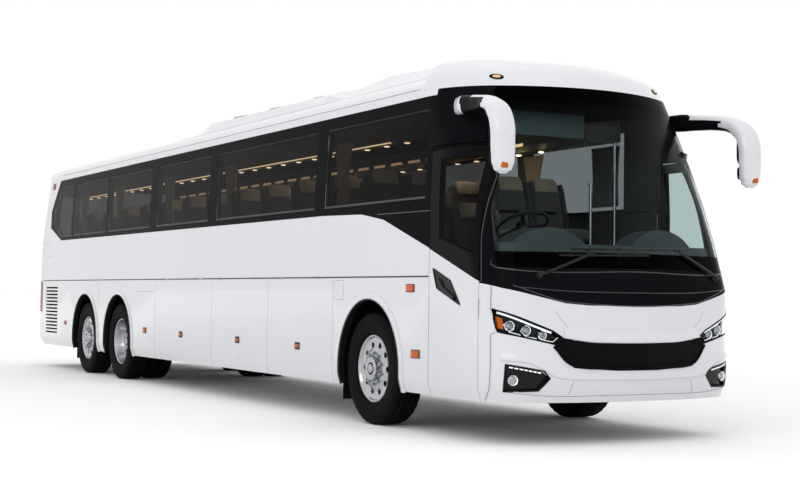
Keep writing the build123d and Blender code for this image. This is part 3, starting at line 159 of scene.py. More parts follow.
floor_mesh = bmesh.new()
bmesh.ops.create_grid(floor_mesh, x_segments=1, y_segments=1, size=90)
floor_material, shader = clean_material("studio_floor")
floor_tree = floor_material.node_tree
floor_seen = seen_rays(floor_tree)
floor_colour = tree_node(
    floor_tree, "Mix", {0: floor_seen, 6: (0.85, 0.85, 0.85, 1), 7: (1.1, 1.1, 1.1, 1)}, data_type="RGBA"
)
floor_place = tree_node(floor_tree, "TexCoord")
floor_reach = tree_node(floor_tree, "VectorMath", {0: floor_place.outputs["Object"]}, operation="LENGTH")
far_floor = tree_node(
    floor_tree, "MapRange",
    {
        "Value": floor_reach.outputs["Value"], "From Min": 8.0, "From Max": 20.0, "To Min": 0.015,
        "To Max": 0.35,
    },
)
floor_glow = tree_node(
    floor_tree, "Math", {0: far_floor.outputs["Result"], 1: floor_seen}, operation="MULTIPLY",
)
floor_tree.links.new(floor_colour.outputs[2], shader.inputs["Base Color"])
floor_tree.links.new(floor_glow.outputs[0], shader.inputs["Emission Strength"])
shader.inputs["Emission Color"].default_value = (1, 1, 1, 1)
shader.inputs["Roughness"].default_value = 0.9
shader.inputs["Specular IOR Level"].default_value = 0.1
studio_floor = new_piece("studio_floor", floor_mesh, floor_material, body=None)

# ------------------------------------------------------------------ paint
# Gloss coach enamel over sheet and moulded panels: a hard clear coat with faint orange peel, paint a little
# darker and greyer towards the sills, and black gloss where the window band runs on over the doors.
variation = bpy.data.node_groups.new("variation", "ShaderNodeTree")
variation.interface.new_socket("Patch Scale", in_out="INPUT", socket_type="NodeSocketFloat")
variation.interface.new_socket("Fine Scale", in_out="INPUT", socket_type="NodeSocketFloat")
variation.interface.new_socket("Patches", in_out="OUTPUT", socket_type="NodeSocketFloat")
variation.interface.new_socket("Fine", in_out="OUTPUT", socket_type="NodeSocketFloat")
group_in = variation.nodes.new("NodeGroupInput")
group_out = variation.nodes.new("NodeGroupOutput")
place = variation.nodes.new("ShaderNodeTexCoord")
for scale, out, detail in (("Patch Scale", "Patches", 4), ("Fine Scale", "Fine", 2)):
    noise = variation.nodes.new("ShaderNodeTexNoise")
    noise.inputs["Detail"].default_value = detail
    variation.links.new(place.outputs["Object"], noise.inputs["Vector"])
    variation.links.new(group_in.outputs[scale], noise.inputs["Scale"])
    variation.links.new(noise.outputs["Fac"], group_out.inputs[out])


def add_node(material, kind, values=(), **settings):
    """A node in a material, as tree_node makes it."""
    return tree_node(material.node_tree, kind, values, **settings)


def feed(material, socket, output):
    """Links an output to a socket of a material's Principled shader."""
    tree = material.node_tree
    tree.links.new(output, tree.nodes["Principled BSDF"].inputs[socket])


def own_place(material):
    """Where a point of the surface lies in its object's own axes: the outputs X, Y and Z."""
    coordinates = add_node(material, "TexCoord")
    return add_node(material, "SeparateXYZ", {"Vector": coordinates.outputs["Object"]}).outputs


def finish(name, colour, second, rough, patch=1.5, fine=300.0, bump=0.1, **sockets):
    """A material whose colour and roughness drift between two values, with a fine raised grain.
    Other Principled values are given by name, with _ for a space."""
    material, shader = clean_material(name)
    vary = add_node(material, "Group", node_tree=variation)
    vary.inputs["Patch Scale"].default_value = patch
    vary.inputs["Fine Scale"].default_value = fine
    tint = add_node(
        material, "Mix", {0: vary.outputs["Patches"], 6: (*colour, 1), 7: (*second, 1)}, data_type="RGBA"
    )
    spread = add_node(
        material, "MapRange",
        {"Value": vary.outputs["Patches"], "To Min": rough * 0.75, "To Max": min(1, rough * 1.25)},
    )
    grain = add_node(
        material, "Bump", {"Height": vary.outputs["Fine"], "Strength": bump, "Distance": 0.001}
    )
    feed(material, "Base Color", tint.outputs[2])
    feed(material, "Roughness", spread.outputs["Result"])
    feed(material, "Normal", grain.outputs["Normal"])
    for socket, value in sockets.items():
        shader.inputs[socket.replace("_", " ")].default_value = value
    return material


def tint_socket(material):
    """The colour output that feeds a finish's Base Color."""
    shader = material.node_tree.nodes["Principled BSDF"]
    return shader.inputs["Base Color"].links[0].from_socket


WHITE = (0.775, 0.788, 0.825)
white_paint = finish(
    "white_paint", WHITE, (0.75, 0.763, 0.80), 0.25, 0.6, 60.0, 0.015, Specular_IOR_Level=0.15,
    Coat_Weight=1.0, Coat_Roughness=0.03,
)
# the paint mixes towards a darker warm grey low down, most at the sills
sill_darkening = add_node(
    white_paint, "MapRange",
    {"Value": own_place(white_paint)["Z"], "From Min": 0.30, "From Max": 0.75, "To Min": 0.16, "To Max": 0.0},
)
sill_darkened = add_node(
    white_paint, "Mix",
    {0: sill_darkening.outputs["Result"], 6: tint_socket(white_paint), 7: (0.62, 0.61, 0.59, 1)}, data_type="RGBA",
)
feed(white_paint, "Base Color", sill_darkened.outputs[2])

BLACK = (0.004, 0.004, 0.005)
black_gloss = finish(
    "black_gloss", (0.0045, 0.005, 0.0062), (0.006, 0.0065, 0.008), 0.10, 1.0, 80.0, 0.01,
    Specular_IOR_Level=0.012,
)

# door leaves: the black of the window band goes on across them above a slanting line
door_paint = white_paint.copy()
door_paint.name = "door_paint"
door_place = own_place(door_paint)
DATUM = -4.700  # just behind the front axle; places along the bus are counted from here
LINE_START, LINE_TOP, LINE_FOOT, LINE_RUN = DATUM - 1.17, 1.615, 1.33, 0.81
line_slope = (LINE_TOP - LINE_FOOT) / LINE_RUN
line_rise = add_node(door_paint, "Math", {0: door_place["Y"], 1: -line_slope}, operation="MULTIPLY")
line_level = add_node(door_paint, "Math", {0: door_place["Z"], 1: line_rise.outputs[0]}, operation="ADD")
line_mark = LINE_TOP - LINE_START * line_slope
over_line = add_node(door_paint, "Math", {0: line_level.outputs[0], 1: line_mark}, operation="GREATER_THAN")
leaf_colour = add_node(
    door_paint, "Mix", {0: over_line.outputs[0], 6: tint_socket(door_paint), 7: (*BLACK, 1)}, data_type="RGBA"
)
feed(door_paint, "Base Color", leaf_colour.outputs[2])
leaf_coat = add_node(door_paint, "Math", {0: 1.0, 1: over_line.outputs[0]}, operation="SUBTRACT")
feed(door_paint, "Coat Weight", leaf_coat.outputs[0])
door_paint.node_tree.nodes["Principled BSDF"].inputs["Specular IOR Level"].default_value = 0.04

# ------------------------------------------------------------------ rubber, metal and plastics
# Tyres and flaps are black rubber with a dusty bloom, rims polished forged aluminium, chassis
# parts satin black paint with dust, and trim moulded grained plastic.
rubber = finish(
    "tyre_rubber", (0.006, 0.006, 0.0065), (0.011, 0.0108, 0.0105), 0.6, 5.0, 220.0, 0.25,
    Specular_IOR_Level=0.02,
)
flap_rubber = finish(
    "flap_rubber", (0.005, 0.005, 0.005), (0.009, 0.009, 0.009), 0.7, 4.0, 90.0, 0.2, Specular_IOR_Level=0.1,
)
aluminium = finish(
    "polished_aluminium", (0.50, 0.51, 0.53), (0.40, 0.41, 0.43), 0.2, 3.0, 500.0, 0.02, Metallic=1.0,
)
chrome = finish("chrome", (0.92, 0.93, 0.94), (0.88, 0.89, 0.9), 0.05, 3.0, 200.0, 0.01, Metallic=1.0)
black_plastic = finish(
    "black_plastic", (0.006, 0.006, 0.007), (0.010, 0.010, 0.011), 0.4, 3.0, 700.0, 0.3,
    Specular_IOR_Level=0.25,
)
chassis_paint = finish(
    "chassis_paint", (0.010, 0.010, 0.011), (0.03, 0.028, 0.026), 0.6, 3.0, 120.0, 0.3,
    Specular_IOR_Level=0.2,
)
galvanised = finish(
    "galvanised_sheet", (0.42, 0.43, 0.44), (0.3, 0.3, 0.31), 0.45, 14.0, 60.0, 0.1, Metallic=0.8,
)
vinyl_floor = finish("vinyl_floor", (0.11, 0.11, 0.12), (0.2, 0.19, 0.18), 0.5, 260.0, 400.0, 0.15)
lining = finish("lining_panel", (0.060, 0.060, 0.058), (0.050, 0.050, 0.048), 0.7, 2.0, 900.0, 0.3)
rack_trim = finish("rack_trim", (0.18, 0.165, 0.145), (0.15, 0.14, 0.125), 0.65, 2.0, 900.0, 0.35)
dash_skin = finish("dash_skin", (0.06, 0.066, 0.068), (0.045, 0.05, 0.052), 0.5, 6.0, 500.0, 0.6)
lamp_black = finish(
    "lamp_housing", (0.006, 0.006, 0.007), (0.010, 0.010, 0.011), 0.15, 2.0, 300.0, 0.05,
    Specular_IOR_Level=0.15,
)
red_lens = finish(
    "red_lens", (0.26, 0.004, 0.006), (0.17, 0.002, 0.004), 0.12, 8.0, 180.0, 0.35, Specular_IOR_Level=0.25,
)
amber_lens = finish(
    "amber_lens", (0.66, 0.14, 0.003), (0.50, 0.09, 0.002), 0.15, 8.0, 180.0, 0.35, Specular_IOR_Level=0.25,
)

# ------------------------------------------------------------------ glass
# Side glass is dark body-tinted safety glass, the screen a lighter laminated sheet with a faint
# green cast, and lamp covers are clear moulded plastic.
def clear_sheet(name, colour, rough=0.0):
    """A clear sheet that tints what is seen through it."""
    material, shader = clean_material(name)
    shader.inputs["Base Color"].default_value = (*colour, 1)
    shader.inputs["Roughness"].default_value = rough
    shader.inputs["IOR"].default_value = 1.07
    shader.inputs["Transmission Weight"].default_value = 1.0
    return material


tinted_glass = clear_sheet("tinted_glass", (0.19, 0.192, 0.195))
screen_glass = clear_sheet("screen_glass", (0.62, 0.72, 0.72))
clear_cover = clear_sheet("clear_cover", (0.95, 0.96, 0.97))

# the screen's black printed border: solid below the dashboard's line, fading in at the top
screen_rise = own_place(screen_glass)["Z"]
low_border = add_node(screen_glass, "MapRange", {"Value": screen_rise, "From Min": 1.572, "From Max": 1.582})
top_shade = add_node(
    screen_glass, "MapRange",
    {"Value": screen_rise, "From Min": 2.66, "From Max": 2.90, "To Min": 1.0, "To Max": 0.0},
)
clear_part = add_node(
    screen_glass, "Math", {0: low_border.outputs[0], 1: top_shade.outputs[0]}, operation="MULTIPLY",
)
screen_colour = add_node(
    screen_glass, "Mix", {0: clear_part.outputs[0], 6: (0.0, 0.0, 0.0, 1), 7: (0.70, 0.80, 0.80, 1)},
    data_type="RGBA"
)
feed(screen_glass, "Base Color", screen_colour.outputs[2])

node_materials = {
    "white_paint": white_paint,
    "black_gloss": black_gloss,
    "tinted_glass": tinted_glass,
    "screen_glass": screen_glass,
    "black_plastic": black_plastic,
    "mirror_paint": white_paint,
    "lamp_clear": lamp_black,
    "lamp_red": red_lens,
    "floor_covering": vinyl_floor,
    "painted_steel": chassis_paint,
    "tyre_rubber": rubber,
    "polished_aluminium": aluminium,
    "seat_fabric": lining,
    "rack_trim": rack_trim,
    "flap_rubber": flap_rubber,
}
own_materials = {
    "driver_door": door_paint,
    "entrance_door": door_paint,
    "dashboard": dash_skin,
    "luggage_hold": galvanised,
}
for subpart in RECORD["subparts"]:
    node = NODES[subpart["node"]]
    material = own_materials.get(subpart["node"], node_materials[subpart["material_slot"]])
    node.data.materials.clear()
    node.data.materials.append(material)
    weld = node.modifiers.new("weld", "WELD")
    weld.merge_threshold = 0.0002
    smooth_shading(node, 28)

# The panes' cut edges are black, and the entrance door's glass is the paler kind.
entrance_glass = clear_sheet("entrance_glass", (0.56, 0.63, 0.63))
NODES["entrance_door_glass"].data.materials[0] = entrance_glass
for name in ("side_glass", "driver_door_glass", "entrance_door_glass"):
    data = NODES[name].data
    data.materials.append(flap_rubber)
    for polygon in data.polygons:
        if abs(polygon.normal.x) < 0.5:
            polygon.material_index = 1

# ------------------------------------------------------------------ headlamp housings
# Two black lamp pods let into the nose behind clear covers. Each is a moulded bowl that holds
# three projectors with bright rings, light guides under them, a strip lamp along the top edge
# and an amber indicator at the outer end.
SHELL_NODES = [
    name for name in NODES
    if NODES[name].data and name.split("_")[0] in (
        "side", "glazing", "arch", "engine", "luggage", "driver", "entrance", "windscreen", "cowl",
        "front", "grille", "rear", "tail", "roof", "air",
    ) and name not in ("luggage_hold", "luggage_racks", "driver_seat", "engine")
]


def skin_of(names):
    """One search tree of the outer faces of some frame nodes."""
    points, faces = [], []
    for name in names:
        first = len(points)
        points += [vertex.co for vertex in NODES[name].data.vertices]
        faces += [[first + corner for corner in polygon.vertices] for polygon in NODES[name].data.polygons]
    return BVHTree.FromPolygons(points, faces)


BODY_SKIN = skin_of(SHELL_NODES)
# how a flat drawing of (first, second) values is cast on to the body from each side
CASTS = {
    "front": (lambda a, b: Vector((a, -15, b)), Vector((0, 1, 0))),
    "rear": (lambda a, b: Vector((a, 15, b)), Vector((0, -1, 0))),
    "right": (lambda a, b: Vector((-9, a, b)), Vector((1, 0, 0))),
    "left": (lambda a, b: Vector((9, a, b)), Vector((-1, 0, 0))),
    "top": (lambda a, b: Vector((a, b, 9)), Vector((0, 0, -1))),
}


def cast(view, a, b):
    """The point of the body behind a point of one view's drawing, and the outward normal there.
    Where the point falls in a seam, its nearest neighbour on the skin is used."""
    start, heading = CASTS[view]
    hits = []
    for da, db in (
        (0, 0), (0.009, 0), (-0.009, 0), (0, 0.009), (0, -0.009), (0.02, 0), (-0.02, 0), (0, 0.02),
        (0, -0.02),
    ):
        place, normal, _, distance = BODY_SKIN.ray_cast(start(a + da, b + db), heading)
        if place is not None:
            hits.append((distance, place - (start(a + da, b + db) - start(a, b)), normal))
    if not hits:
        raise ValueError(f"nothing behind {a:.3f}, {b:.3f} from the {view}")
    nearest = min(hit[0] for hit in hits)
    _, place, normal = next(hit for hit in hits if hit[0] < nearest + 0.03)
    if normal.dot(heading) > 0:
        normal = -normal
    return place, normal


def resampled(points, step):
    """Points along a polyline no more than a step apart, its corners kept."""
    result = [Vector(points[0])]
    for start, end in zip(points, points[1:]):
        start, end = Vector(start), Vector(end)
        count = max(1, math.ceil((end - start).length / step))
        result += [start.lerp(end, index / count) for index in range(1, count + 1)]
    return result


def on_curve(before, start, end, after, t):
    """A Catmull-Rom curve's point, a part t of the way from start to end."""
    return 0.5 * (
        (2 * start) + (end - before) * t + (2 * before - 5 * start + 4 * end - after) * t * t
        + (3 * start - before - 3 * end + after) * t ** 3
    )


def smooth_line(points, step):
    """Points along a Catmull-Rom curve through the given ones."""
    points = [Vector(point) for point in points]
    ends = [2 * points[0] - points[1], *points, 2 * points[-1] - points[-2]]
    result = [points[0]]
    for index in range(1, len(ends) - 2):
        before, start, end, after = ends[index - 1:index + 3]
        count = max(1, math.ceil((end - start).length / step))
        result += [on_curve(before, start, end, after, part / count) for part in range(1, count + 1)]
    return result


def smooth_drawing(points, step):
    """Points along a smooth curve through a drawing's (first, second) values."""
    return [(point.x, point.y) for point in smooth_line([(*point, 0) for point in points], step)]


def stitch(mesh, rings, closed=False):
    """Faces from each ring of vertices to the next, and from the last to the first if closed."""
    faces = []
    for ring, after in zip(rings, rings[1:] + rings[:1] if closed else rings[1:]):
        for index in range(len(ring)):
            following = (index + 1) % len(ring)
            faces.append(mesh.faces.new((ring[index], ring[following], after[following], after[index])))
    return faces


def sweep(mesh, places, normals, profile, closed=False):
    """A run of one profile of (across, outward) points along a path whose outward side is given."""
    rings = []
    count = len(places)
    for index, (place, normal) in enumerate(zip(places, normals)):
        if closed:
            heading = places[(index + 1) % count] - places[index - 1]
        else:
            heading = places[min(index + 1, count - 1)] - places[max(index - 1, 0)]
        side = heading.cross(normal).normalized()
        outward = side.cross(heading).normalized()
        rings.append([mesh.verts.new(place + side * a + outward * b) for a, b in profile])
    stitch(mesh, rings, closed)
    if not closed:
        mesh.faces.new(rings[0])
        mesh.faces.new(rings[-1][::-1])


def bar_profile(width, height, sink=0.002):
    """A low moulding's section, its top edges eased."""
    ease = min(width, height) * 0.3
    return (
        (-width / 2, -sink), (-width / 2, height - ease), (-width / 2 + ease, height),
        (width / 2 - ease, height), (width / 2, height - ease), (width / 2, -sink),
    )


def moulding(mesh, view, points, width, height, sink=0.002, step=0.03, closed=False, lift=0.0):
    """A low strip that follows the body along a drawn line."""
    line = resampled([*points, points[0]] if closed else points, step)
    if closed:
        line = line[:-1]
    hits = [cast(view, *point) for point in line]
    places = [place + normal * lift for place, normal in hits]
    sweep(mesh, places, [normal for _, normal in hits], bar_profile(width, height, sink), closed)


def patch(mesh, view, outline, lift=0.0, step=0.03):
    """A sheet that follows the body inside a convex drawn outline. Returns its faces."""
    a_values, b_values = [p[0] for p in outline], [p[1] for p in outline]
    a_low, a_high, b_low, b_high = min(a_values), max(a_values), min(b_values), max(b_values)
    sheet = bmesh.new()
    columns = max(1, math.ceil((a_high - a_low) / step))
    rows = max(1, math.ceil((b_high - b_low) / step))
    grid = [
        [sheet.verts.new((a_low + (a_high - a_low) * i / columns, b_low + (b_high - b_low) * j / rows, 0))
         for i in range(columns + 1)] for j in range(rows + 1)
    ]
    for j in range(rows):
        for i in range(columns):
            sheet.faces.new((grid[j][i], grid[j][i + 1], grid[j + 1][i + 1], grid[j + 1][i]))
    turn = sum(p[0] * q[1] - q[0] * p[1] for p, q in zip(outline, (*outline[1:], outline[0])))
    for start, end in zip(outline, (*outline[1:], outline[0])):
        edge = Vector((end[0] - start[0], end[1] - start[1], 0))
        if edge.length < 1e-6:
            continue
        outward = Vector((edge.y, -edge.x, 0)) * (1 if turn > 0 else -1)
        bmesh.ops.bisect_plane(
            sheet, geom=[*sheet.verts, *sheet.edges, *sheet.faces], dist=1e-6,
            plane_co=(*start, 0), plane_no=outward, clear_outer=True,
        )
    placed = {}
    for vertex in sheet.verts:
        place, normal = cast(view, vertex.co.x, vertex.co.y)
        placed[vertex] = mesh.verts.new(place + normal * lift)
    faces = [mesh.faces.new([placed[corner] for corner in face.verts]) for face in sheet.faces]
    sheet.free()
    bmesh.ops.recalc_face_normals(mesh, faces=faces)
    heading = CASTS[view][1]
    if sum(face.normal.dot(heading) for face in faces) > 0:
        bmesh.ops.reverse_faces(mesh, faces=faces)
    return faces


def push(mesh, faces, move):
    """Pushes a sheet's faces by a vector and walls the sides, so the sheet becomes a bowl or boss."""
    moved = bmesh.ops.extrude_face_region(mesh, geom=faces)["geom"]
    bmesh.ops.translate(
        mesh, verts=[item for item in moved if isinstance(item, bmesh.types.BMVert)], vec=move,
    )


def boss(mesh, view, outline, move, lift=0.0, step=0.03):
    """A sheet that follows the body inside a convex drawn outline, made thick by a vector."""
    push(mesh, patch(mesh, view, outline, lift, step), move)


def bowl(mesh, faces, depth, wall=0.006):
    """A sheet's faces made a moulded tray: a closed body with its front hollowed behind a rim."""
    push(mesh, faces, (0, depth + wall, 0))
    bmesh.ops.inset_region(mesh, faces=faces, thickness=wall, use_even_offset=True)
    inner = list({corner for face in faces for corner in face.verts})
    bmesh.ops.translate(mesh, verts=inner, vec=(0, depth, 0))
    bmesh.ops.recalc_face_normals(mesh, faces=mesh.faces[:])


def mirrored(outline):
    """A drawing's other-side twin."""
    return [(-a, b) for a, b in outline]


LAMP_OUTLINE = ((-1.228, 1.106), (-1.200, 0.922), (-0.758, 0.823), (-0.699, 0.872), (-0.794, 0.934))
lamp_bowls = bmesh.new()
for outline in (LAMP_OUTLINE, mirrored(LAMP_OUTLINE)):
    bowl(lamp_bowls, patch(lamp_bowls, "front", outline, -0.002), 0.055)
headlamp_housings = new_piece("headlamp_housings", lamp_bowls, lamp_black)

# ------------------------------------------------------------------ headlamp projectors
# Three projector lamps a side: a bright reflector ring, a glass ball and a satin bezel.
# each one's place across the nose, its height and its radius
PROJECTORS = ((1.116, 0.969, 0.044), (0.998, 0.936, 0.044), (0.868, 0.899, 0.042))


def lathe(mesh, centre, axis, profile, steps=32):
    """A turned form: (distance along the axis, radius) points spun about it."""
    axis = Vector(axis).normalized()
    side = axis.orthogonal().normalized()
    verts = [mesh.verts.new(Vector(centre) + axis * out + side * radius) for out, radius in profile]
    edges = [mesh.edges.new(pair) for pair in zip(verts, verts[1:])]
    bmesh.ops.spin(
        mesh, geom=[*verts, *edges], cent=centre, axis=axis, angle=2 * math.pi, steps=steps, use_merge=True
    )
    bmesh.ops.remove_doubles(mesh, verts=[v for v in mesh.verts if v.is_valid], dist=1e-6)


reflectors, balls = bmesh.new(), bmesh.new()
for side in (-1, 1):
    for x, z, radius in PROJECTORS:
        place, normal = cast("front", side * x, z)
        facing = (normal + Vector((0, -1.6, 0))).normalized()
        base = place + Vector((0, 0.038, 0))
        lathe(reflectors, base, facing, (
            (-0.012, radius * 0.96), (0.016, radius), (0.020, radius * 0.97), (0.018, radius * 0.86),
            (0.006, radius * 0.74), (-0.008, radius * 0.66), (-0.012, radius * 0.40),
        ))
        lathe(balls, base, facing, (
            (-0.010, radius * 0.70), (0.004, radius * 0.66), (0.014, radius * 0.48), (0.019, radius * 0.25),
            (0.0205, 0.0002),
        ))
new_piece("headlamp_reflectors", reflectors, chrome)
projector_glass = finish(
    "projector_lens", (0.16, 0.17, 0.18), (0.5, 0.52, 0.54), 0.06, 38.0, 90.0, 0.02, Metallic=0.8,
)
new_piece("headlamp_lenses", balls, projector_glass)

# ------------------------------------------------------------------ headlamp light guides
# Clear acrylic strips: a long one under the pod's top edge and a hook beneath each projector.
def glow(name, colour, strength):
    """A lit surface, such as an LED guide."""
    material, shader = clean_material(name)
    shader.inputs["Base Color"].default_value = (*colour, 1)
    shader.inputs["Emission Color"].default_value = (*colour, 1)
    shader.inputs["Emission Strength"].default_value = strength
    return material


guides = bmesh.new()
white_glow = glow("light_guide", (0.9, 0.92, 0.95), 0.45)
for side in (-1, 1):
    for line, width in (
        (((1.205, 1.079), (1.104, 1.037), (0.935, 0.969), (0.800, 0.919)), 0.016),
        (((1.168, 0.985), (1.160, 0.960), (1.130, 0.922), (1.050, 0.898)), 0.006),
        (((1.050, 0.935), (1.030, 0.905), (0.998, 0.884), (0.921, 0.871)), 0.006),
        (((0.912, 0.895), (0.893, 0.872), (0.865, 0.860), (0.787, 0.844), (0.745, 0.880)), 0.006),
    ):
        moulding(guides, "front", [(side * x, z) for x, z in line], width, 0.004, lift=-0.016, step=0.012)
new_piece("headlamp_guides", guides, white_glow)

# the indicator at each pod's outer end
indicators = bmesh.new()
INDICATOR = ((-1.205, 1.045), (-1.196, 0.950), (-1.168, 0.942), (-1.172, 1.030))
for outline in (INDICATOR, mirrored(INDICATOR)):
    boss(indicators, "front", outline, (0, 0.03, 0), -0.012, 0.012)
new_piece("headlamp_indicators", indicators, amber_lens)

# ------------------------------------------------------------------ headlamp covers
# Clear covers, flush with the nose, in a slim black surround.
covers, surrounds = bmesh.new(), bmesh.new()
for outline in (LAMP_OUTLINE, mirrored(LAMP_OUTLINE)):
    boss(covers, "front", outline, (0, 0.003, 0), 0.001)
    moulding(surrounds, "front", outline, 0.014, 0.003, closed=True, lift=-0.001)
new_piece("headlamp_covers", covers, clear_cover)
new_piece("headlamp_surrounds", surrounds, black_gloss)

# ------------------------------------------------------------------ fog lamps
# A black moulded recess low in each bumper corner, with a round fog lamp, its bright ring, and a
# row of daytime LEDs along the top edge.
FOG_OUTLINE = ((-1.153, 0.661), (-1.157, 0.442), (-0.901, 0.451), (-0.810, 0.549), (-0.863, 0.610))
LED_COUNT, LED_FILL = 7, 0.72
row_start, row_end = Vector((1.130, 0.640)), Vector((0.880, 0.592))
fog_bowls, fog_rings, fog_lenses, fog_leds = (bmesh.new() for _ in range(4))
for side in (-1, 1):
    outline = FOG_OUTLINE if side < 0 else mirrored(FOG_OUTLINE)
    bowl(fog_bowls, patch(fog_bowls, "front", outline, 0.003), 0.045)
    moulding(fog_bowls, "front", outline, 0.012, 0.005, closed=True)
    place, normal = cast("front", side * 1.088, 0.533)
    facing = (normal + Vector((0, -1.2, 0))).normalized()
    base = place + Vector((0, 0.034, 0))
    lathe(fog_rings, base, facing, (
        (-0.01, 0.047), (0.012, 0.045), (0.016, 0.042), (0.014, 0.038), (0.002, 0.030), (-0.004, 0.012),
    ))
    lathe(fog_lenses, base, facing, ((0.006, 0.037), (0.012, 0.03), (0.016, 0.018), (0.018, 0.0002)))
    for index in range(LED_COUNT):
        led = [row_start.lerp(row_end, (index + part) / LED_COUNT) for part in (0, LED_FILL)]
        moulding(fog_leds, "front", [(side * point.x, point.y) for point in led], 0.010, 0.003)
new_piece("fog_lamp_recesses", fog_bowls, lamp_black)
new_piece("fog_lamp_rings", fog_rings, chrome)
new_piece("fog_lamp_lenses", fog_lenses, projector_glass)
new_piece("fog_lamp_leds", fog_leds, white_glow)
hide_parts("front_lamps")

# ------------------------------------------------------------------ grille
# Black moulded intake between the lamps: a fine mesh, clipped into a gloss surround that runs
# along its lower edge and up to a pointed tip at each end.
mesh_material = finish(
    "grille_mesh", (0.004, 0.004, 0.004), (0.007, 0.007, 0.007), 0.5, 2.0, 200.0, 0.1,
    Specular_IOR_Level=0.03,
)
weave_place = add_node(mesh_material, "TexCoord")
weave = add_node(
    mesh_material, "TexVoronoi", {"Vector": weave_place.outputs["Object"], "Scale": 60.0},
    feature="DISTANCE_TO_EDGE",
)
cells = add_node(
    mesh_material, "Bump", {"Height": weave.outputs["Distance"], "Strength": 0.4, "Distance": 0.004},
)
feed(mesh_material, "Normal", cells.outputs["Normal"])
NODES["grille"].data.materials[0] = mesh_material
grille_frame = bmesh.new()
GRILLE_RIM = (
    (-0.768, 0.820), (-0.600, 0.664), (-0.205, 0.640), (0.205, 0.640), (0.600, 0.664), (0.768, 0.820),
)
moulding(grille_frame, "front", GRILLE_RIM, 0.062, 0.004, sink=0.004)
lower_rim = smooth_drawing([(x * 1.018, z - 0.010) for x, z in GRILLE_RIM], 0.03)
moulding(grille_frame, "front", lower_rim, 0.022, 0.013, sink=0.004)
GRILLE_TIP = ((-0.600, 0.866), (-0.735, 0.812), (-0.806, 0.830), (-0.742, 0.880))
for points in (GRILLE_TIP, mirrored(GRILLE_TIP)):
    boss(grille_frame, "front", points, (0, -0.005, 0), 0.001)
new_piece("grille_surround", grille_frame, black_gloss)

# ------------------------------------------------------------------ bonnet lip
# The bonnet panel ends in a rolled lip that shades the top of the intake, and the moulded bumper
# has a lower, softer fold under it.
WEDGE = ((0.004, -0.002), (0.0, 0.018), (-0.008, 0.022), (-0.040, 0.012), (-0.085, 0.0005), (-0.085, -0.002))


def whole_line(half, step):
    """A smooth line right across the front, from the points of its right half up to the middle."""
    return smooth_drawing((*half, *mirrored(half)[-2::-1]), step)


def crease(mesh, half, profile):
    """A moulded ridge right across the front."""
    hits = [cast("front", *point) for point in whole_line(half, 0.03)]
    sweep(mesh, [place for place, _ in hits], [normal for _, normal in hits], profile)


lip_mesh = bmesh.new()
crease(lip_mesh, ((-0.700, 0.878), (-0.464, 0.846), (-0.227, 0.838), (0, 0.836)), WEDGE)
crease(
    lip_mesh,
    ((-1.177, 0.695), (-1.004, 0.677), (-0.879, 0.629), (-0.727, 0.552), (-0.374, 0.537), (0, 0.532)),
    [(a * 0.7, b * 0.6) for a, b in WEDGE],
)
new_piece("bonnet_lip", lip_mesh, white_paint, smooth=70)

# ------------------------------------------------------------------ tyres
# Tubeless radial coach tyres: ribbed tread with notched shoulders, a rim protector and two fine
# rings on the side wall. Each is seated on its rim; the drive wheels carry two.
TREAD = (
    (0.108, 0.3065), (0.117, 0.311), (0.124, 0.318), (0.132, 0.328), (0.1385, 0.335), (0.1375, 0.344),
    (0.1415, 0.366), (0.1462, 0.394), (0.1474, 0.418), (0.1458, 0.440), (0.1470, 0.4425), (0.1470, 0.4465),
    (0.1450, 0.4495), (0.1425, 0.470), (0.1395, 0.488), (0.136, 0.4985), (0.131, 0.5085), (0.122, 0.5175),
    (0.088, 0.5212), (0.0865, 0.508), (0.0785, 0.508), (0.077, 0.5216), (0.0300, 0.522), (0.0285, 0.508),
    (0.0205, 0.508), (0.019, 0.522),
)
SPOKES = 160  # steps round a tyre
SIDES = (("right", -1), ("left", 1))


def tyre_form(mesh, centre):
    """One tyre about the X axis, with the notches of its shoulders and ribs."""
    profile = [*TREAD, *((-x, r) for x, r in reversed(TREAD))]
    rings = []
    for spoke in range(SPOKES):
        angle = 2 * math.pi * spoke / SPOKES
        ring = []
        for x, r in profile:
            depth = 0
            if spoke % 4 == 0 and r > 0.495 and abs(x) > 0.1:
                depth = 0.009
            if (spoke + (2 if x > 0 else 0)) % 4 == 0 and r > 0.515 and abs(x) < 0.1:
                depth = 0.003
            out = r - depth
            ring.append(mesh.verts.new(
                (centre[0] + x, centre[1] + out * math.cos(angle), centre[2] + out * math.sin(angle))
            ))
        rings.append(ring)
    for ring, after in zip(rings, rings[1:] + rings[:1]):
        for index in range(len(profile)):
            following = (index + 1) % len(profile)
            mesh.faces.new((ring[index], after[index], after[following], ring[following]))


TWIN = 0.340  # from a drive wheel's outer tyre to its inner one
JOINT_PLACES = {joint["name"]: Vector(joint["pos_m"]) for joint in RECORD["behaviour"]["joints"]}
WHEELS = [
    (axle_name, side_name, side, JOINT_PLACES[f"spin_{axle_name}_{side_name}"])
    for axle_name in ("front", "drive", "tag") for side_name, side in SIDES
]
for axle_name, side_name, side, hub_place in WHEELS:
    tyre_mesh = bmesh.new()
    tyre_form(tyre_mesh, hub_place)
    if axle_name == "drive":
        tyre_form(tyre_mesh, hub_place - Vector((side * TWIN, 0, 0)))
    tyre = new_piece(
        f"tyre_tread_{axle_name}_{side_name}", tyre_mesh, rubber, f"wheel_{axle_name}_{side_name}", 30,
    )
    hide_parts(f"tyre_{axle_name}_{side_name}")

# ------------------------------------------------------------------ wheel fittings
# Forged rims get a rolled flange and eased hand holes. Ten capped nuts hold each to its hub, which
# has a turned cap held by eight bolts.
HOLE_PITCH, NUT_PITCH, BOLT_PITCH = 0.226, 0.1435, 0.088
NUT_COUNT, BOLT_COUNT = 10, 8


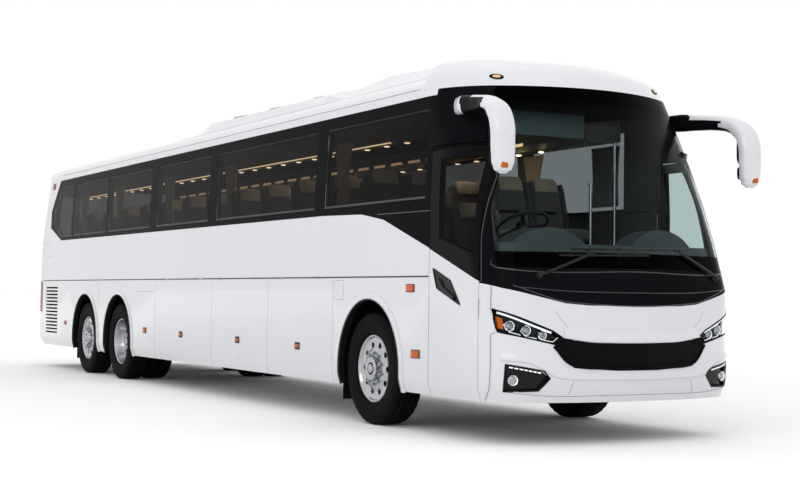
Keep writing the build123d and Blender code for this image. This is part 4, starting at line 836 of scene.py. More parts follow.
def spoke(number, count):
    """The way out from a wheel's middle to one of a ring of fittings."""
    angle = 2 * math.pi * number / count
    return Vector((0, math.cos(angle), math.sin(angle)))


for axle_name, side_name, side, centre in WHEELS:
    twin = axle_name == "drive"
    bright, dark = bmesh.new(), bmesh.new()
    axis = Vector((side, 0, 0))
    lathe(bright, centre, axis, (
        (0.096, 0.2945), (0.108, 0.2965), (0.1165, 0.301), (0.1195, 0.3065), (0.1185, 0.312),
        (0.1145, 0.3155), (0.110, 0.314),
    ), 96)
    face = -0.030 if twin else 0.104
    hub = 0.040 if twin else 0.150
    for index in range(NUT_COUNT):
        nut = centre + spoke(index + 0.5, NUT_COUNT) * NUT_PITCH + axis * face
        lathe(bright, nut, axis, ((0, 0.021), (0.005, 0.021), (0.006, 0.0165)), 18)
        lathe(bright, nut, axis, ((0.004, 0.0165), (0.024, 0.0165), (0.027, 0.0145), (0.027, 0.0002)), 6)
        lathe(bright, nut, axis, ((0.026, 0.0105), (0.034, 0.0095), (0.038, 0.006), (0.039, 0.0002)), 16)
        if not twin:
            out = spoke(index, NUT_COUNT)
            lathe(bright, centre + out * HOLE_PITCH + axis * 0.0875, axis + out * 0.16, (
                (-0.006, 0.0262), (0.0015, 0.0275), (0.0035, 0.0300), (0.002, 0.0325), (-0.003, 0.0335),
            ), 24)
    lathe(bright, centre, axis, (
        (face, 0.116), (face + 0.006, 0.1155), (face + 0.008, 0.112), (hub - 0.006, 0.1085),
        (hub + 0.001, 0.105),
        (hub + 0.0035, 0.098), (hub + 0.003, 0.078), (hub - 0.002, 0.072), (hub - 0.010, 0.070),
    ), 72)
    lathe(dark, centre, axis, ((hub - 0.012, 0.0725), (hub - 0.012, 0.050), (hub - 0.004, 0.046)), 48)
    lathe(
        bright, centre, axis,
        ((hub - 0.006, 0.046), (hub + 0.006, 0.043), (hub + 0.013, 0.030), (hub + 0.0155, 0.0002)), 48,
    )
    for index in range(BOLT_COUNT):
        bolt = centre + spoke(index, BOLT_COUNT) * BOLT_PITCH + axis * hub
        lathe(bright, bolt, axis, ((0.002, 0.0065), (0.009, 0.006), (0.010, 0.0002)), 8)
    new_piece(
        f"rim_fittings_{axle_name}_{side_name}", bright, aluminium, f"wheel_{axle_name}_{side_name}", 35,
    )
    new_piece(f"hub_well_{axle_name}_{side_name}", dark, black_plastic, f"wheel_{axle_name}_{side_name}", 35)

# ------------------------------------------------------------------ belt groove and drip rails
# A black rubber seal runs along the belt over the luggage doors, and a double aluminium drip
# rail, black, sits over each front door.
def both(view_points):
    """The same side drawing for the right and the left side."""
    return (("right", view_points), ("left", view_points))


def at(distance):
    """Place along the bus of a distance behind the datum, which is just behind the front axle."""
    return DATUM + distance


BELT = 1.374
belt_seal = bmesh.new()
for view, line in both(((at(-1.165), BELT), (at(11.42), BELT))):
    moulding(belt_seal, view, line, 0.013, 0.003, step=0.2)
seal_rubber = finish("seal_rubber", (0.012, 0.012, 0.012), (0.03, 0.03, 0.03), 0.5, 6.0, 200.0, 0.1)
new_piece("belt_seal", belt_seal, seal_rubber)

drip_rails = bmesh.new()
for height, width, depth in ((2.505, 0.018, 0.022), (2.482, 0.012, 0.012)):
    for view, line in both(((at(-1.165), height), (at(-1.870), height + 0.004))):
        moulding(drip_rails, view, line, width, depth)
new_piece("door_drip_rails", drip_rails, black_gloss)

# ------------------------------------------------------------------ wheel arch lips
# Pressed white flares round each wheel opening, with a black rubber edge inside. The openings'
# own edges are black.
# half the opening's width, its rise over the axle, and the straight legs below the axle
ARCH, ARCH_RISE, AXLE_HEIGHT = 0.608, 0.643, 0.522
ARCH_STEPS, LEG_STEPS, LEG_STEP = 40, 4, 0.045
lips, lip_edges = bmesh.new(), bmesh.new()
for _, view, _, centre in WHEELS:
    for mesh, grow, width, height in ((lips, 0.036, 0.064, 0.014), (lip_edges, 0.003, 0.010, 0.016)):
        leg = [AXLE_HEIGHT - LEG_STEP * step for step in range(1, LEG_STEPS + 1)]
        arch = [(centre.y - ARCH - grow, z) for z in leg[::-1]]
        for step in range(ARCH_STEPS + 1):
            angle = math.pi * step / ARCH_STEPS
            arch.append((
                centre.y - (ARCH + grow) * math.cos(angle), AXLE_HEIGHT + (ARCH_RISE + grow) * math.sin(angle)
            ))
        arch += [(centre.y + ARCH + grow, z) for z in leg]
        moulding(mesh, view, arch, width, height, step=0.05)
for name in (
    "arch_panels", "engine_side_panels", "side_wall_right", "side_wall_left", "luggage_door_right_1",
    "luggage_door_left_1",
):
    data = NODES[name].data
    data.materials.append(flap_rubber)
    for polygon in data.polygons:
        middle = polygon.center
        for _, _, _, centre in WHEELS:
            inward = Vector((0, (centre.y - middle.y) / ARCH, min(0, centre.z - middle.z) / ARCH_RISE))
            near = abs(inward.y) < 1.02 and inward.length < 1.03
            if near and polygon.normal.dot(inward) > 0.4 * inward.length:
                polygon.material_index = len(data.materials) - 1
new_piece("arch_lips", lips, white_paint, smooth=60)
new_piece("arch_edges", lip_edges, seal_rubber, smooth=60)

# ------------------------------------------------------------------ side markers
# Moulded amber side lamps in black frames, some on the walls and some on the luggage doors.
# each one's place along the bus, its height, length and depth, and the body that it rides on
MARKERS = (
    (10.10, 0.720, 0.095, 0.060, "coach"), (6.331, 0.705, 0.125, 0.075, "coach"),
    (-0.846, 1.272, 0.150, 0.072, "coach"), (-0.950, 0.694, 0.155, 0.075, "coach"),
    (4.966, 0.690, 0.115, 0.075, "luggage_door_{}_3"), (3.135, 0.685, 0.115, 0.075, "luggage_door_{}_2"),
    (1.522, 0.676, 0.115, 0.075, "luggage_door_{}_1"),
)


def oblong(a_low, b_low, a_high, b_high):
    """A drawing's rectangle between two opposite corners."""
    return ((a_low, b_low), (a_high, b_low), (a_high, b_high), (a_low, b_high))


def ease_edges(mesh, offset, segments=3):
    """Rounds off every edge."""
    bmesh.ops.bevel(
        mesh, geom=mesh.edges[:], offset=offset, segments=segments, affect="EDGES", profile=0.5, material=-1
    )


marker_parts = {}
for side_name, side in SIDES:
    for distance, height, length, tall, body in MARKERS:
        body = body.format(side_name)
        frames, lenses = marker_parts.setdefault(body, (bmesh.new(), bmesh.new()))
        y, out = at(distance), Vector((side, 0, 0))
        rise, run = tall / 2, length / 2
        base = oblong(y - run, height - rise, y + run, height + rise)
        boss(frames, side_name, base, out * 0.006, 0, 0.1)
        rise *= 0.82 if body == "coach" else 0.42
        run *= 0.9
        lens = oblong(y - run, height - rise, y + run, height + rise)
        boss(lenses, side_name, lens, out * 0.010, 0.003, 0.1)
for body, (frames, lenses) in marker_parts.items():
    for mesh in (frames, lenses):
        ease_edges(mesh, 0.0025, 2)
    new_piece(f"marker_frames_{body}", frames, black_plastic, body)
    new_piece(f"marker_lenses_{body}", lenses, amber_lens, body)

# ------------------------------------------------------------------ driver's door handle
# A slanting black recess with a pull handle and its lock, on each front door.
HANDLE = ((-1.697, 1.135), (-1.310, 1.275), (-1.244, 1.440), (-1.535, 1.335))
for (side_name, side), door in zip(SIDES, ("driver_door", "entrance_door")):
    out = Vector((side, 0, 0))
    recess, grip = bmesh.new(), bmesh.new()
    outline = [(at(a), b) for a, b in HANDLE]
    boss(recess, side_name, outline, -out * 0.012, 0.001, 0.06)
    moulding(recess, side_name, outline, 0.016, 0.006, closed=True)
    moulding(
        grip, side_name, ((at(-1.610), 1.185), (at(-1.430), 1.262), (at(-1.345), 1.345)), 0.036, 0.024,
        lift=-0.004,
    )
    centre, normal = cast(side_name, at(-1.385), 1.335)
    lathe(grip, centre, out, ((-0.004, 0.016), (0.008, 0.0155), (0.010, 0.012), (0.010, 0.0002)), 20)
    new_piece(f"handle_recess_{side_name}", recess, lamp_black, door)
    new_piece(f"handle_grip_{side_name}", grip, black_plastic, door)

# ------------------------------------------------------------------ flaps in the lower panels
# Small service flaps: fine shadow gaps round them, and the short seam ahead of the drive wheels.
fine_gaps = bmesh.new()
for view, flap in (
    *both(oblong(0.475, 1.343, 0.687, 1.161)),
    ("left", oblong(-0.99, 0.82, -0.77, 0.60)),
):
    moulding(fine_gaps, view, [(at(a), b) for a, b in flap], 0.003, 0.0006, closed=True, step=0.1)
for line in (
    ((6.029, 1.216), (6.707, 1.216)), ((8.400, 1.366), (8.400, 0.36)), ((10.95, 1.760), (11.20, 1.760)),
    ((10.92, 1.975), (11.33, 1.975)),
):
    for view, points in both([(at(a), b) for a, b in line]):
        moulding(fine_gaps, view, points, 0.003, 0.0006, step=0.2)
for line in (
    ((-1.231, 1.297), (-1.236, 1.100)), ((-1.236, 0.900), (-1.236, 0.360)),
    ((-1.236, 0.905), (-1.205, 0.915)),
    ((-0.605, 0.523), (-0.644, 0.417)),
):
    for points in (line, mirrored(line)):
        moulding(fine_gaps, "front", points, 0.0035, 0.0008, step=0.05)
BUMPER_SEAM = ((-1.162, 0.441), (-0.883, 0.412), (-0.649, 0.403), (-0.355, 0.406), (0, 0.407))
moulding(fine_gaps, "front", whole_line(BUMPER_SEAM, 0.04), 0.004, 0.0008, step=0.05)
shadow_grey = finish("seam_shadow", (0.16, 0.165, 0.175), (0.12, 0.125, 0.13), 0.6, 6.0, 100.0, 0.02)
new_piece("panel_seams", fine_gaps, shadow_grey)

# the bonnet's raised middle ends in a fold on each side; the fold's shade is painted on as a light grey line
# along it
fold_shade_lines = bmesh.new()
BONNET_FOLD = ((-0.779, 1.101), (-0.728, 1.032), (-0.632, 0.935), (-0.600, 0.895))
for points in (BONNET_FOLD, mirrored(BONNET_FOLD)):
    moulding(fold_shade_lines, "front", points, 0.005, 0.0008, step=0.05)
painted_fold_shade = finish("fold_shade", (0.48, 0.49, 0.51), (0.44, 0.45, 0.47), 0.5, 6.0, 100.0, 0.02)
new_piece("bonnet_fold_painted_shade", fold_shade_lines, painted_fold_shade)

# ------------------------------------------------------------------ mirrors
# Horn-shaped mirrors: a black arm from the screen pillar that turns down into a white shell. The
# shell's outer arm is black, its root has a white cap, and a heated glass faces back.
mirror_glass = finish(
    "mirror_glass", (0.82, 0.85, 0.87), (0.8, 0.83, 0.85), 0.03, 2.0, 50.0, 0.0, Metallic=1.0,
)


def rounded(steps, power):
    """Points round a circle of radius 1 that is squared up as its power grows past 2."""
    turns = [2 * math.pi * step / steps for step in range(steps)]
    return [
        [math.copysign(abs(value) ** (2 / power), value) for value in (math.cos(turn), math.sin(turn))]
        for turn in turns
    ]


def closed_form(mesh, rings):
    """A closed body through rings of vertices, its faces turned outward."""
    faces = stitch(mesh, rings)
    faces += [mesh.faces.new(rings[0][::-1]), mesh.faces.new(rings[-1])]
    bmesh.ops.recalc_face_normals(mesh, faces=faces)


def slab(mesh, corners, move):
    """A flat face through some corners, made thick by a vector."""
    push(mesh, [mesh.faces.new([mesh.verts.new(corner) for corner in corners])], move)


def block(mesh, size, middle):
    """A plain block."""
    corners = bmesh.ops.create_cube(mesh, size=1.0)["verts"]
    bmesh.ops.scale(mesh, verts=corners, vec=size)
    bmesh.ops.translate(mesh, verts=corners, vec=middle)


def horn_form(mesh, side, stations, steps=28, power=2.6):
    """A closed form through (place, half across, half deep) stations, as a smooth curve."""
    count = 6
    fine, sizes = [], []
    points = [Vector((side * p[0], p[1], p[2])) for p, _, _ in stations]
    ends = [2 * points[0] - points[1], *points, 2 * points[-1] - points[-2]]
    for index in range(1, len(ends) - 2):
        before, start, end, after = ends[index - 1:index + 3]
        for part in range(count + (index == len(ends) - 3)):
            t = part / count
            fine.append(on_curve(before, start, end, after, t))
            eased = t * t * (3 - 2 * t)
            a, b = stations[index - 1], stations[index]
            sizes.append((a[1] + (b[1] - a[1]) * eased, a[2] + (b[2] - a[2]) * eased))
    rings = []
    for index, (place, (wide, deep)) in enumerate(zip(fine, sizes)):
        heading = (fine[min(index + 1, len(fine) - 1)] - fine[max(index - 1, 0)]).normalized()
        sideways = Vector((1, 0, 0))
        sideways = (sideways - heading * sideways.dot(heading)).normalized()
        inward = sideways.cross(heading)
        rings.append([
            mesh.verts.new(place + sideways * (x * wide) + inward * (y * deep)) for x,
            y in rounded(steps, power)
        ])
    closed_form(mesh, rings)


# places along the mirror: (|x|, y, z), half across, half deep
HORN = (
    ((1.150, at(-1.440), 2.832), 0.046, 0.076),
    ((1.180, at(-1.580), 2.828), 0.052, 0.080),
    ((1.205, at(-1.760), 2.814), 0.052, 0.072),
    ((1.235, at(-1.950), 2.796), 0.058, 0.066),
    ((1.266, at(-2.140), 2.762), 0.078, 0.067),
    ((1.284, at(-2.280), 2.684), 0.100, 0.074),
    ((1.290, at(-2.345), 2.565), 0.105, 0.070),
    ((1.291, at(-2.355), 2.420), 0.103, 0.068),
    ((1.289, at(-2.355), 2.290), 0.098, 0.064),
    ((1.287, at(-2.352), 2.222), 0.078, 0.050),
    ((1.285, at(-2.350), 2.186), 0.036, 0.022),
)
horns, mirror_faces, mirror_frames, mirror_lamps = (bmesh.new() for _ in range(4))
for side in (-1, 1):
    horn_form(horns, side, HORN)
mirror_shells = new_piece("mirror_shells", horns, white_paint, smooth=50)
mirror_shells.data.materials.append(black_gloss)
# the arm, its underside and the face round the glass are black; the root's cap and the top are white
for polygon in mirror_shells.data.polygons:
    middle, facing = polygon.center, polygon.normal
    on_arm = middle.z > 2.66 and middle.y > at(-2.10) + (2.80 - middle.z) * 0.9
    capped = middle.x < 0 and middle.y > at(-1.585)
    under = middle.z > 2.62 and facing.z < -0.45
    topped = facing.z > 0.6 and middle.y < at(-1.80)
    if middle.x > 0:
        topped = facing.z > 0.15 and middle.y < at(-1.70) + 0.1 * (middle.z - 2.8)
    if (on_arm and not capped and not topped) or (under and not capped):
        polygon.material_index = 1
    if not on_arm and facing.y > 0.55 and middle.z < 2.70:
        polygon.material_index = 1
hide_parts("mirrors")
for side in (-1, 1):
    for low, high, wide in ((2.40, 2.63, 0.084), (2.265, 2.375, 0.078)):
        middle = Vector((side * 1.290, at(-2.355) + 0.066, (low + high) / 2))
        for mesh, grow, out in ((mirror_frames, 0.006, 0.0), (mirror_faces, 0.0, 0.0035)):
            oval = [(x * (wide + grow), z * ((high - low) / 2 + grow)) for x, z in rounded(40, 4)]
            slab(mesh, [middle + Vector((x, out, z)) for x, z in oval], (0, 0.005, 0))
            bmesh.ops.recalc_face_normals(mesh, faces=mesh.faces[:])
    block(mirror_lamps, (0.062, 0.030, 0.050), (side * 1.306, at(-2.401), 2.252))
ease_edges(mirror_lamps, 0.006)
new_piece("mirror_glasses", mirror_faces, mirror_glass)
new_piece("mirror_frames", mirror_frames, black_plastic)
new_piece("mirror_repeaters", mirror_lamps, amber_lens)

# ------------------------------------------------------------------ wipers
# Two pantograph arms on capped pivots in the black cowl, each with a long blade laid on the glass.
wiper_metal, wiper_rubber = bmesh.new(), bmesh.new()
for pivot, arm_end, blade_start, blade_end in (
    ((-0.892, 1.375), (-0.418, 1.567), (-0.705, 1.545), (0.140, 1.560)),
    ((0.960, 1.385), (0.497, 1.595), (-0.590, 1.600), (0.610, 1.615)),
):
    place, normal = cast("front", *pivot)
    lathe(
        wiper_metal, place, normal,
        ((-0.002, 0.030), (0.016, 0.028), (0.024, 0.022), (0.040, 0.020), (0.045, 0.014), (0.045, 0.0002)),
        24,
    )
    arm_line = resampled([pivot, arm_end], 0.03)
    hits = [cast("front", *point) for point in arm_line]
    lifts = [0.030 - 0.008 * index / len(hits) for index in range(len(hits))]
    sweep(wiper_metal, [p + n * lift for (p, n), lift in zip(hits, lifts)], [n for _, n in hits],
          ((-0.013, 0), (-0.010, 0.012), (0.010, 0.012), (0.013, 0)))
    moulding(wiper_metal, "front", (blade_start, blade_end), 0.016, 0.014, lift=0.012, step=0.04)
    moulding(wiper_rubber, "front", (blade_start, blade_end), 0.006, 0.014, sink=0.0, step=0.04)
    for part in (0.12, 0.36, 0.64, 0.88):
        middle = Vector(blade_start).lerp(Vector(blade_end), part)
        moulding(
            wiper_metal, "front", ((middle.x - 0.012, middle.y), (middle.x + 0.012, middle.y)), 0.026, 0.022,
            lift=0.006,
        )
wiper_set = new_piece("wiper_arms", wiper_metal, black_plastic)
new_piece("wiper_blades", wiper_rubber, seal_rubber)
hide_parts("wipers")

# ------------------------------------------------------------------ cap marker lamps
# Two small oval lamps with dark bezels, high on the front cap.
cap_bezels, cap_lenses = bmesh.new(), bmesh.new()
for side in (-1, 1):
    for mesh, run, rise, depth, lift in (
        (cap_bezels, 0.052, 0.026, -0.006, 0.0), (cap_lenses, 0.030, 0.014, -0.008, 0.004),
    ):
        oval = [(side * 0.855 + run * x, 3.095 + rise * z) for x, z in rounded(20, 2)]
        boss(mesh, "front", oval, (0, depth, 0), lift, 0.02)
new_piece("cap_lamp_bezels", cap_bezels, black_gloss)
warm_lens = finish("warm_lens", (0.9, 0.62, 0.30), (0.8, 0.5, 0.2), 0.12, 8.0, 180.0, 0.2)
new_piece("cap_lamp_lenses", cap_lenses, warm_lens)

# ------------------------------------------------------------------ screen and cowl seams
# A rubber seal between the screen and the black cowl, and two pressed lines across the cowl.
cowl_lines = bmesh.new()
for line, width, height in (
    (((-1.202, 1.501), (-1.183, 1.444), (-0.913, 1.413), (-0.535, 1.412), (0, 1.425)), 0.010, 0.004),
    (((-1.102, 1.299), (-0.907, 1.232), (-0.677, 1.172), (-0.303, 1.147), (0, 1.140)), 0.010, 0.005),
    (((-1.056, 1.285), (-0.617, 1.256), (0, 1.250)), 0.007, 0.003),
):
    moulding(cowl_lines, "front", whole_line(line, 0.04), width, height, step=0.04)
cowl_gloss = finish("cowl_line_gloss", (0.03, 0.033, 0.036), (0.02, 0.022, 0.025), 0.15, 2.0, 80.0, 0.01)
new_piece("cowl_seams", cowl_lines, cowl_gloss)

# ------------------------------------------------------------------ inner linings
# The walls, doors, pillars and roof are lined inside with dark grained panels. The lower panels
# and luggage doors show bare galvanised sheet.
LUGGAGE_DOORS = [f"luggage_door_{side_name}_{number}" for side_name, _ in SIDES for number in (1, 2, 3)]
LINED = (
    "side_wall_right", "side_wall_left", "roof", "front_cap", "rear_wall", "driver_door", "entrance_door",
    "front_pillars", "arch_panels", "engine_side_panels", *LUGGAGE_DOORS,
)
# a face is inside if it looks at the nearest point of a line along the cabin's and hold's middle
CORE_LENGTH, CORE_HEIGHT = (-5.2, 5.4), (0.9, 2.2)


def within(value, limits):
    """A value kept within two limits."""
    return max(limits[0], min(limits[1], value))


for name in LINED:
    data = NODES[name].data
    data.materials.append(galvanised if name.startswith(("luggage", "arch", "engine")) else lining)
    for polygon in data.polygons:
        middle, facing = polygon.center, polygon.normal
        core = Vector((0, within(middle.y, CORE_LENGTH), within(middle.z, CORE_HEIGHT)))
        if polygon.material_index == 0 and facing.dot(core - middle) > 0.25 * (core - middle).length:
            polygon.material_index = len(data.materials) - 1

# The openings' own edges are black: round the side windows, in the doors and in the nose.
INTAKE_LOW, INTAKE_HIGH, INTAKE_HALF = 0.62, 0.90, 0.80
WINDOW_LOW, WINDOW_HIGH = 1.98, 2.93
LEAF_LOW, LEAF_HIGH, LEAF_FRONT, LEAF_BACK = 1.45, 2.65, at(-1.9), at(-0.75)
for name in (
    "side_wall_right", "side_wall_left", "driver_door", "entrance_door", "front_panel", "front_bumper",
):
    data = NODES[name].data
    data.materials.append(flap_rubber)
    for polygon in data.polygons:
        middle, facing = polygon.center, polygon.normal
        if name.startswith("front"):
            edge = abs(middle.x) < INTAKE_HALF and INTAKE_LOW < middle.z < INTAKE_HIGH and facing.y > -0.55
        else:
            edge = WINDOW_LOW < middle.z < WINDOW_HIGH
            if name.endswith("door"):
                edge = edge or (LEAF_LOW < middle.z < LEAF_HIGH and LEAF_FRONT < middle.y < LEAF_BACK)
            edge = edge and abs(facing.x) < 0.6
        if edge:
            polygon.material_index = len(data.materials) - 1

# ------------------------------------------------------------------ passenger seats
# Reclining double seats: dark woven cushions with grey sides, a beige headrest cover, a dark
# shell behind with a grab handle, arm rests and steel legs that are bolted to the deck.
seat_cloth = finish(
    "seat_cloth", (0.13, 0.125, 0.12), (0.10, 0.096, 0.092), 0.85, 30.0, 900.0, 0.6, Sheen_Weight=0.4,
)
side_cloth = finish(
    "seat_side_cloth", (0.075, 0.078, 0.085), (0.055, 0.058, 0.064), 0.8, 30.0, 900.0, 0.6, Sheen_Weight=0.3,
)
cover_cloth = finish(
    "headrest_cloth", (0.58, 0.47, 0.34), (0.50, 0.40, 0.29), 0.85, 20.0, 1200.0, 0.5, Sheen_Weight=0.4,
)
for cloth in (seat_cloth, side_cloth, cover_cloth):
    cloth_place = add_node(cloth, "TexCoord")
    threads = [
        add_node(
            cloth, "TexWave", {"Vector": cloth_place.outputs["Object"], "Scale": 260.0}, wave_type="BANDS",
            bands_direction=direction,
        )
        for direction in ("Y", "Z")
    ]
    crossed = add_node(
        cloth, "Math", {0: threads[0].outputs["Fac"], 1: threads[1].outputs["Fac"]}, operation="MULTIPLY",
    )
    raised = add_node(cloth, "Bump", {"Height": crossed.outputs[0], "Strength": 0.4, "Distance": 0.001})
    feed(cloth, "Normal", raised.outputs["Normal"])


def pad_form(mesh, rows, steps=20, power=4.0):
    """A stuffed form through rounded-rectangle rows: each a centre, half width across the bus, and
    half depth along the row's own depth direction."""
    closed_form(mesh, [
        [
            mesh.verts.new(
                Vector(centre) + Vector((x * wide, 0, 0)) + Vector(depth_way).normalized() * (y * deep)
            )
            for x, y in rounded(steps, power)
        ]
        for centre, wide, deep, depth_way in rows
    ])


def seat_pads(pads, sides, covers, x, front, base, wide):
    """One passenger's place: cushion, back, side wings and headrest cover."""
    lean = Vector((0, 0.13, 0.58)).normalized()
    thick = Vector((0, lean.z, -lean.y))
    cushion_z = base + 0.40
    pad_form(pads, [
        ((x, front + 0.02 + t * 0.44, cushion_z - 0.005 * (t > 0.8)), wide * w, h, (0, 0, 1))
        for t, w,
        h in (
            (-0.04, 0.80, 0.030), (0.0, 0.95, 0.058), (0.08, 0.99, 0.070), (0.5, 1.0, 0.066),
            (0.92, 1.0, 0.062), (1.0, 0.94, 0.045),
        )
    ])
    foot = Vector((x, front + 0.465, cushion_z))
    pad_form(pads, [
        (foot + lean * t, wide * w, d, thick)
        for t, w, d in (
            (0.00, 0.80, 0.040), (0.04, 0.86, 0.058), (0.15, 0.86, 0.070), (0.30, 0.84, 0.060),
            (0.44, 0.82, 0.056), (0.50, 0.80, 0.064), (0.57, 0.74, 0.056), (0.605, 0.60, 0.030),
        )
    ])
    for side in (-1, 1):
        pad_form(sides, [
            (foot + lean * t + Vector((side * wide * 0.93, 0, 0)) - thick * 0.012, 0.028 * w, d, thick)
            for t, w,
            d in (
                (0.02, 0.7, 0.040), (0.08, 1.0, 0.072), (0.30, 1.0, 0.066), (0.47, 0.95, 0.060),
                (0.55, 0.7, 0.045),
            )
        ], 14)
    pad_form(sides, [
        (foot + lean * t + thick * 0.045, wide * w, 0.022, thick)
        for t, w in ((-0.08, 0.90), (0.0, 0.97), (0.30, 0.98), (0.50, 0.93), (0.585, 0.74), (0.61, 0.6))
    ], 16)
    pad_form(covers, [
        (foot + lean * t - thick * 0.004, wide * w, d, thick)
        for t, w,
        d in (
            (0.465, 0.72, 0.065), (0.48, 0.73, 0.070), (0.50, 0.73, 0.072), (0.57, 0.70, 0.066),
            (0.606, 0.60, 0.045), (0.615, 0.45, 0.02),
        )
    ], 18)


DECK = 1.420
ROWS, FIRST_ROW, ROW_PITCH = 13, -0.250, 0.830
PLACES, PLACE_HALF = (0.505, 0.935), 0.205
pads, sides, covers, hard = (bmesh.new() for _ in range(4))
# rows of two benches, with arm rests, legs, and a grab handle behind each place
for row in range(ROWS):
    front = at(FIRST_ROW + ROW_PITCH * row)
    for bench in (-1, 1):
        for x in PLACES:
            seat_pads(pads, sides, covers, bench * x, front, DECK, PLACE_HALF)
        for arm in (0.280, 0.720, 1.155):
            slab(hard, [(bench * arm + a, front + b, DECK + c) for a, b, c in (
                (-0.02, 0.06, 0.60), (0.02, 0.06, 0.60), (0.02, 0.46, 0.62), (-0.02, 0.46, 0.62),
            )], (0, 0, 0.035))
        for leg in (0.40, 1.04):
            slab(hard, [
                (bench * leg + a, front + b, DECK + 0.001) for a, b in oblong(-0.025, 0.08, 0.025, 0.44)
            ], (0, 0, 0.31))
        for x in PLACES:
            grip = [Vector((bench * x + a, front + 0.465 + 0.175 + b, DECK + 0.955 + c)) for a, b, c in (
                (-0.10, -0.02, -0.02), (-0.09, 0.012, 0.0), (0.09, 0.012, 0.0), (0.10, -0.02, -0.02),
            )]
            sweep(hard, grip, [Vector((0, 1, 0))] * 4, [(0.008 * a, 0.008 * b) for a, b in rounded(8, 2)])
bmesh.ops.recalc_face_normals(hard, faces=hard.faces[:])
seat_cushions = new_piece("seat_cushions", pads, seat_cloth, smooth=60)
seat_sides = new_piece("seat_sides", sides, side_cloth, smooth=60)
seat_covers = new_piece("seat_headrest_covers", covers, cover_cloth, smooth=60)
new_piece("seat_hardware", hard, black_plastic)
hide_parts("passenger_seats")

# ------------------------------------------------------------------ driver's seat
# A sprung high-back seat with the same cloth, and its pedestal.
pads, sides, covers, hard = (bmesh.new() for _ in range(4))
seat_pads(pads, sides, covers, -0.640, at(-1.420), 1.045, 0.245)
lathe(
    hard, Vector((-0.640, at(-1.150), 1.001)), (0, 0, 1),
    ((0.0, 0.19), (0.02, 0.19), (0.03, 0.15), (0.20, 0.13), (0.33, 0.17), (0.36, 0.20), (0.37, 0.0002)), 24,
)
driver_pads = new_piece("driver_seat_cushions", pads, seat_cloth, smooth=60)
driver_sides = new_piece("driver_seat_sides", sides, side_cloth, smooth=60)
driver_cover = new_piece("driver_seat_cover", covers, cover_cloth, smooth=60)
new_piece("driver_seat_base", hard, black_plastic)
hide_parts("driver_seat")

# ------------------------------------------------------------------ cabin lamps
# A warm LED strip is let into the underside of each parcel rack, with a moulded lip along its
# edge, small round lamps in the lip and dim lit panels in its face. Two soft lamps stand for
# the light that they throw.
strips, far_strips, spots, lips = (bmesh.new() for _ in range(4))
warm_glow = glow("warm_strip", (1.0, 0.70, 0.40), 3.0)
dim_glow = glow("dim_strip", (1.0, 0.66, 0.36), 0.9)
spot_glow = glow("reading_lamps", (1.0, 0.76, 0.48), 4.5)
STRIP_X, LIP_X, PANEL_X, RACK_UNDER = 0.818, 0.776, 0.757, 2.700
RAIL_STEP, PANEL_PITCH, LAMP_PITCH = 0.3, 0.43, 0.415
for side in (-1, 1):
    for mesh, x, start, count, profile in (
        (strips, STRIP_X, 0.40, 35, bar_profile(0.018, 0.008)),
        (lips, LIP_X, -0.60, 38, bar_profile(0.016, 0.024)),
    ):
        rail = [Vector((side * x, at(start + RAIL_STEP * index), RACK_UNDER)) for index in range(count)]
        sweep(mesh, rail, [Vector((0, 0, -1))] * len(rail), profile)
    for panel in range(24):
        start = 0.45 + PANEL_PITCH * panel
        rail = [Vector((side * PANEL_X, at(start + part), 2.775)) for part in (0, 0.10, 0.20, 0.27)]
        sweep(far_strips, rail, [Vector((-side, 0, 0))] * len(rail), bar_profile(0.030, 0.006))
    for row in range(26):
        lathe(
            spots, Vector((side * LIP_X, at(0.14 + LAMP_PITCH * row), 2.677)), (0, 0, -1),
            ((0, 0.030), (0.006, 0.028), (0.010, 0.018), (0.010, 0.0002)), 14,
        )
new_piece("rack_lips", lips, rack_trim)
new_piece("rack_glow_panels", far_strips, dim_glow)
cabin_lamp = soft_box("cabin_box", (0, at(5.6), 2.64), (0, at(5.6), 0), (9.6, 1.3), 100)
cabin_lamp.data.color = (1.0, 0.86, 0.70)
cabin_lamp.rotation_euler = (0, 0, math.pi / 2)
cab_lamp = soft_box("cab_box", (0, at(-1.0), 2.60), (0, at(-1.0), 0), (1.6, 1.0), 4)
for lamp in (cabin_lamp, cab_lamp):
    lamp.visible_camera = lamp.visible_glossy = lamp.visible_transmission = False
new_piece("rack_led_strips", strips, warm_glow)
new_piece("reading_lamps", spots, spot_glow)

# ------------------------------------------------------------------ window curtains
# Pleated tan cloth that hangs under the rack by each window post, tied back to the wall. The
# entrance side has one darker curtain at the front.
curtain_cloth = finish(
    "curtain_cloth", (0.62, 0.48, 0.33), (0.52, 0.40, 0.27), 0.9, 6.0, 700.0, 0.5, Sheen_Weight=0.3,
)
dark_curtain_cloth = finish(
    "dark_curtain_cloth", (0.11, 0.10, 0.10), (0.07, 0.066, 0.066), 0.9, 6.0, 700.0, 0.5, Sheen_Weight=0.3,
)


def curtain(name, cloth, place, widths, pleats, flat_width, bottom, top):
    """A gathered curtain in the plane of a side wall, with its width at the foot, tie and head."""
    x, y = place
    mesh = bmesh.new()
    columns, rows, tied = pleats * 8, 24, 0.42
    foot, tie, head = widths
    grid = []
    for row in range(rows + 1):
        t = row / rows
        if t < tied:
            wide = foot + (tie - foot) * (t / tied) ** 1.4
        else:
            wide = tie + (head - tie) * ((t - tied) / (1 - tied)) ** 1.3
        deep = math.sqrt(max(0.0, flat_width ** 2 - wide ** 2)) / (4 * pleats)
        line = []
        for column in range(columns + 1):
            u = column / columns
            fold = math.sin(2 * math.pi * pleats * u)
            line.append(mesh.verts.new((x + deep * fold, y + (u - 0.5) * wide, bottom + (top - bottom) * t)))
        grid.append(line)
    for below, above in zip(grid, grid[1:]):
        for column in range(columns):
            mesh.faces.new((below[column], below[column + 1], above[column + 1], above[column]))
    bmesh.ops.recalc_face_normals(mesh, faces=mesh.faces[:])
    piece = new_piece(name, mesh, cloth, smooth=180)


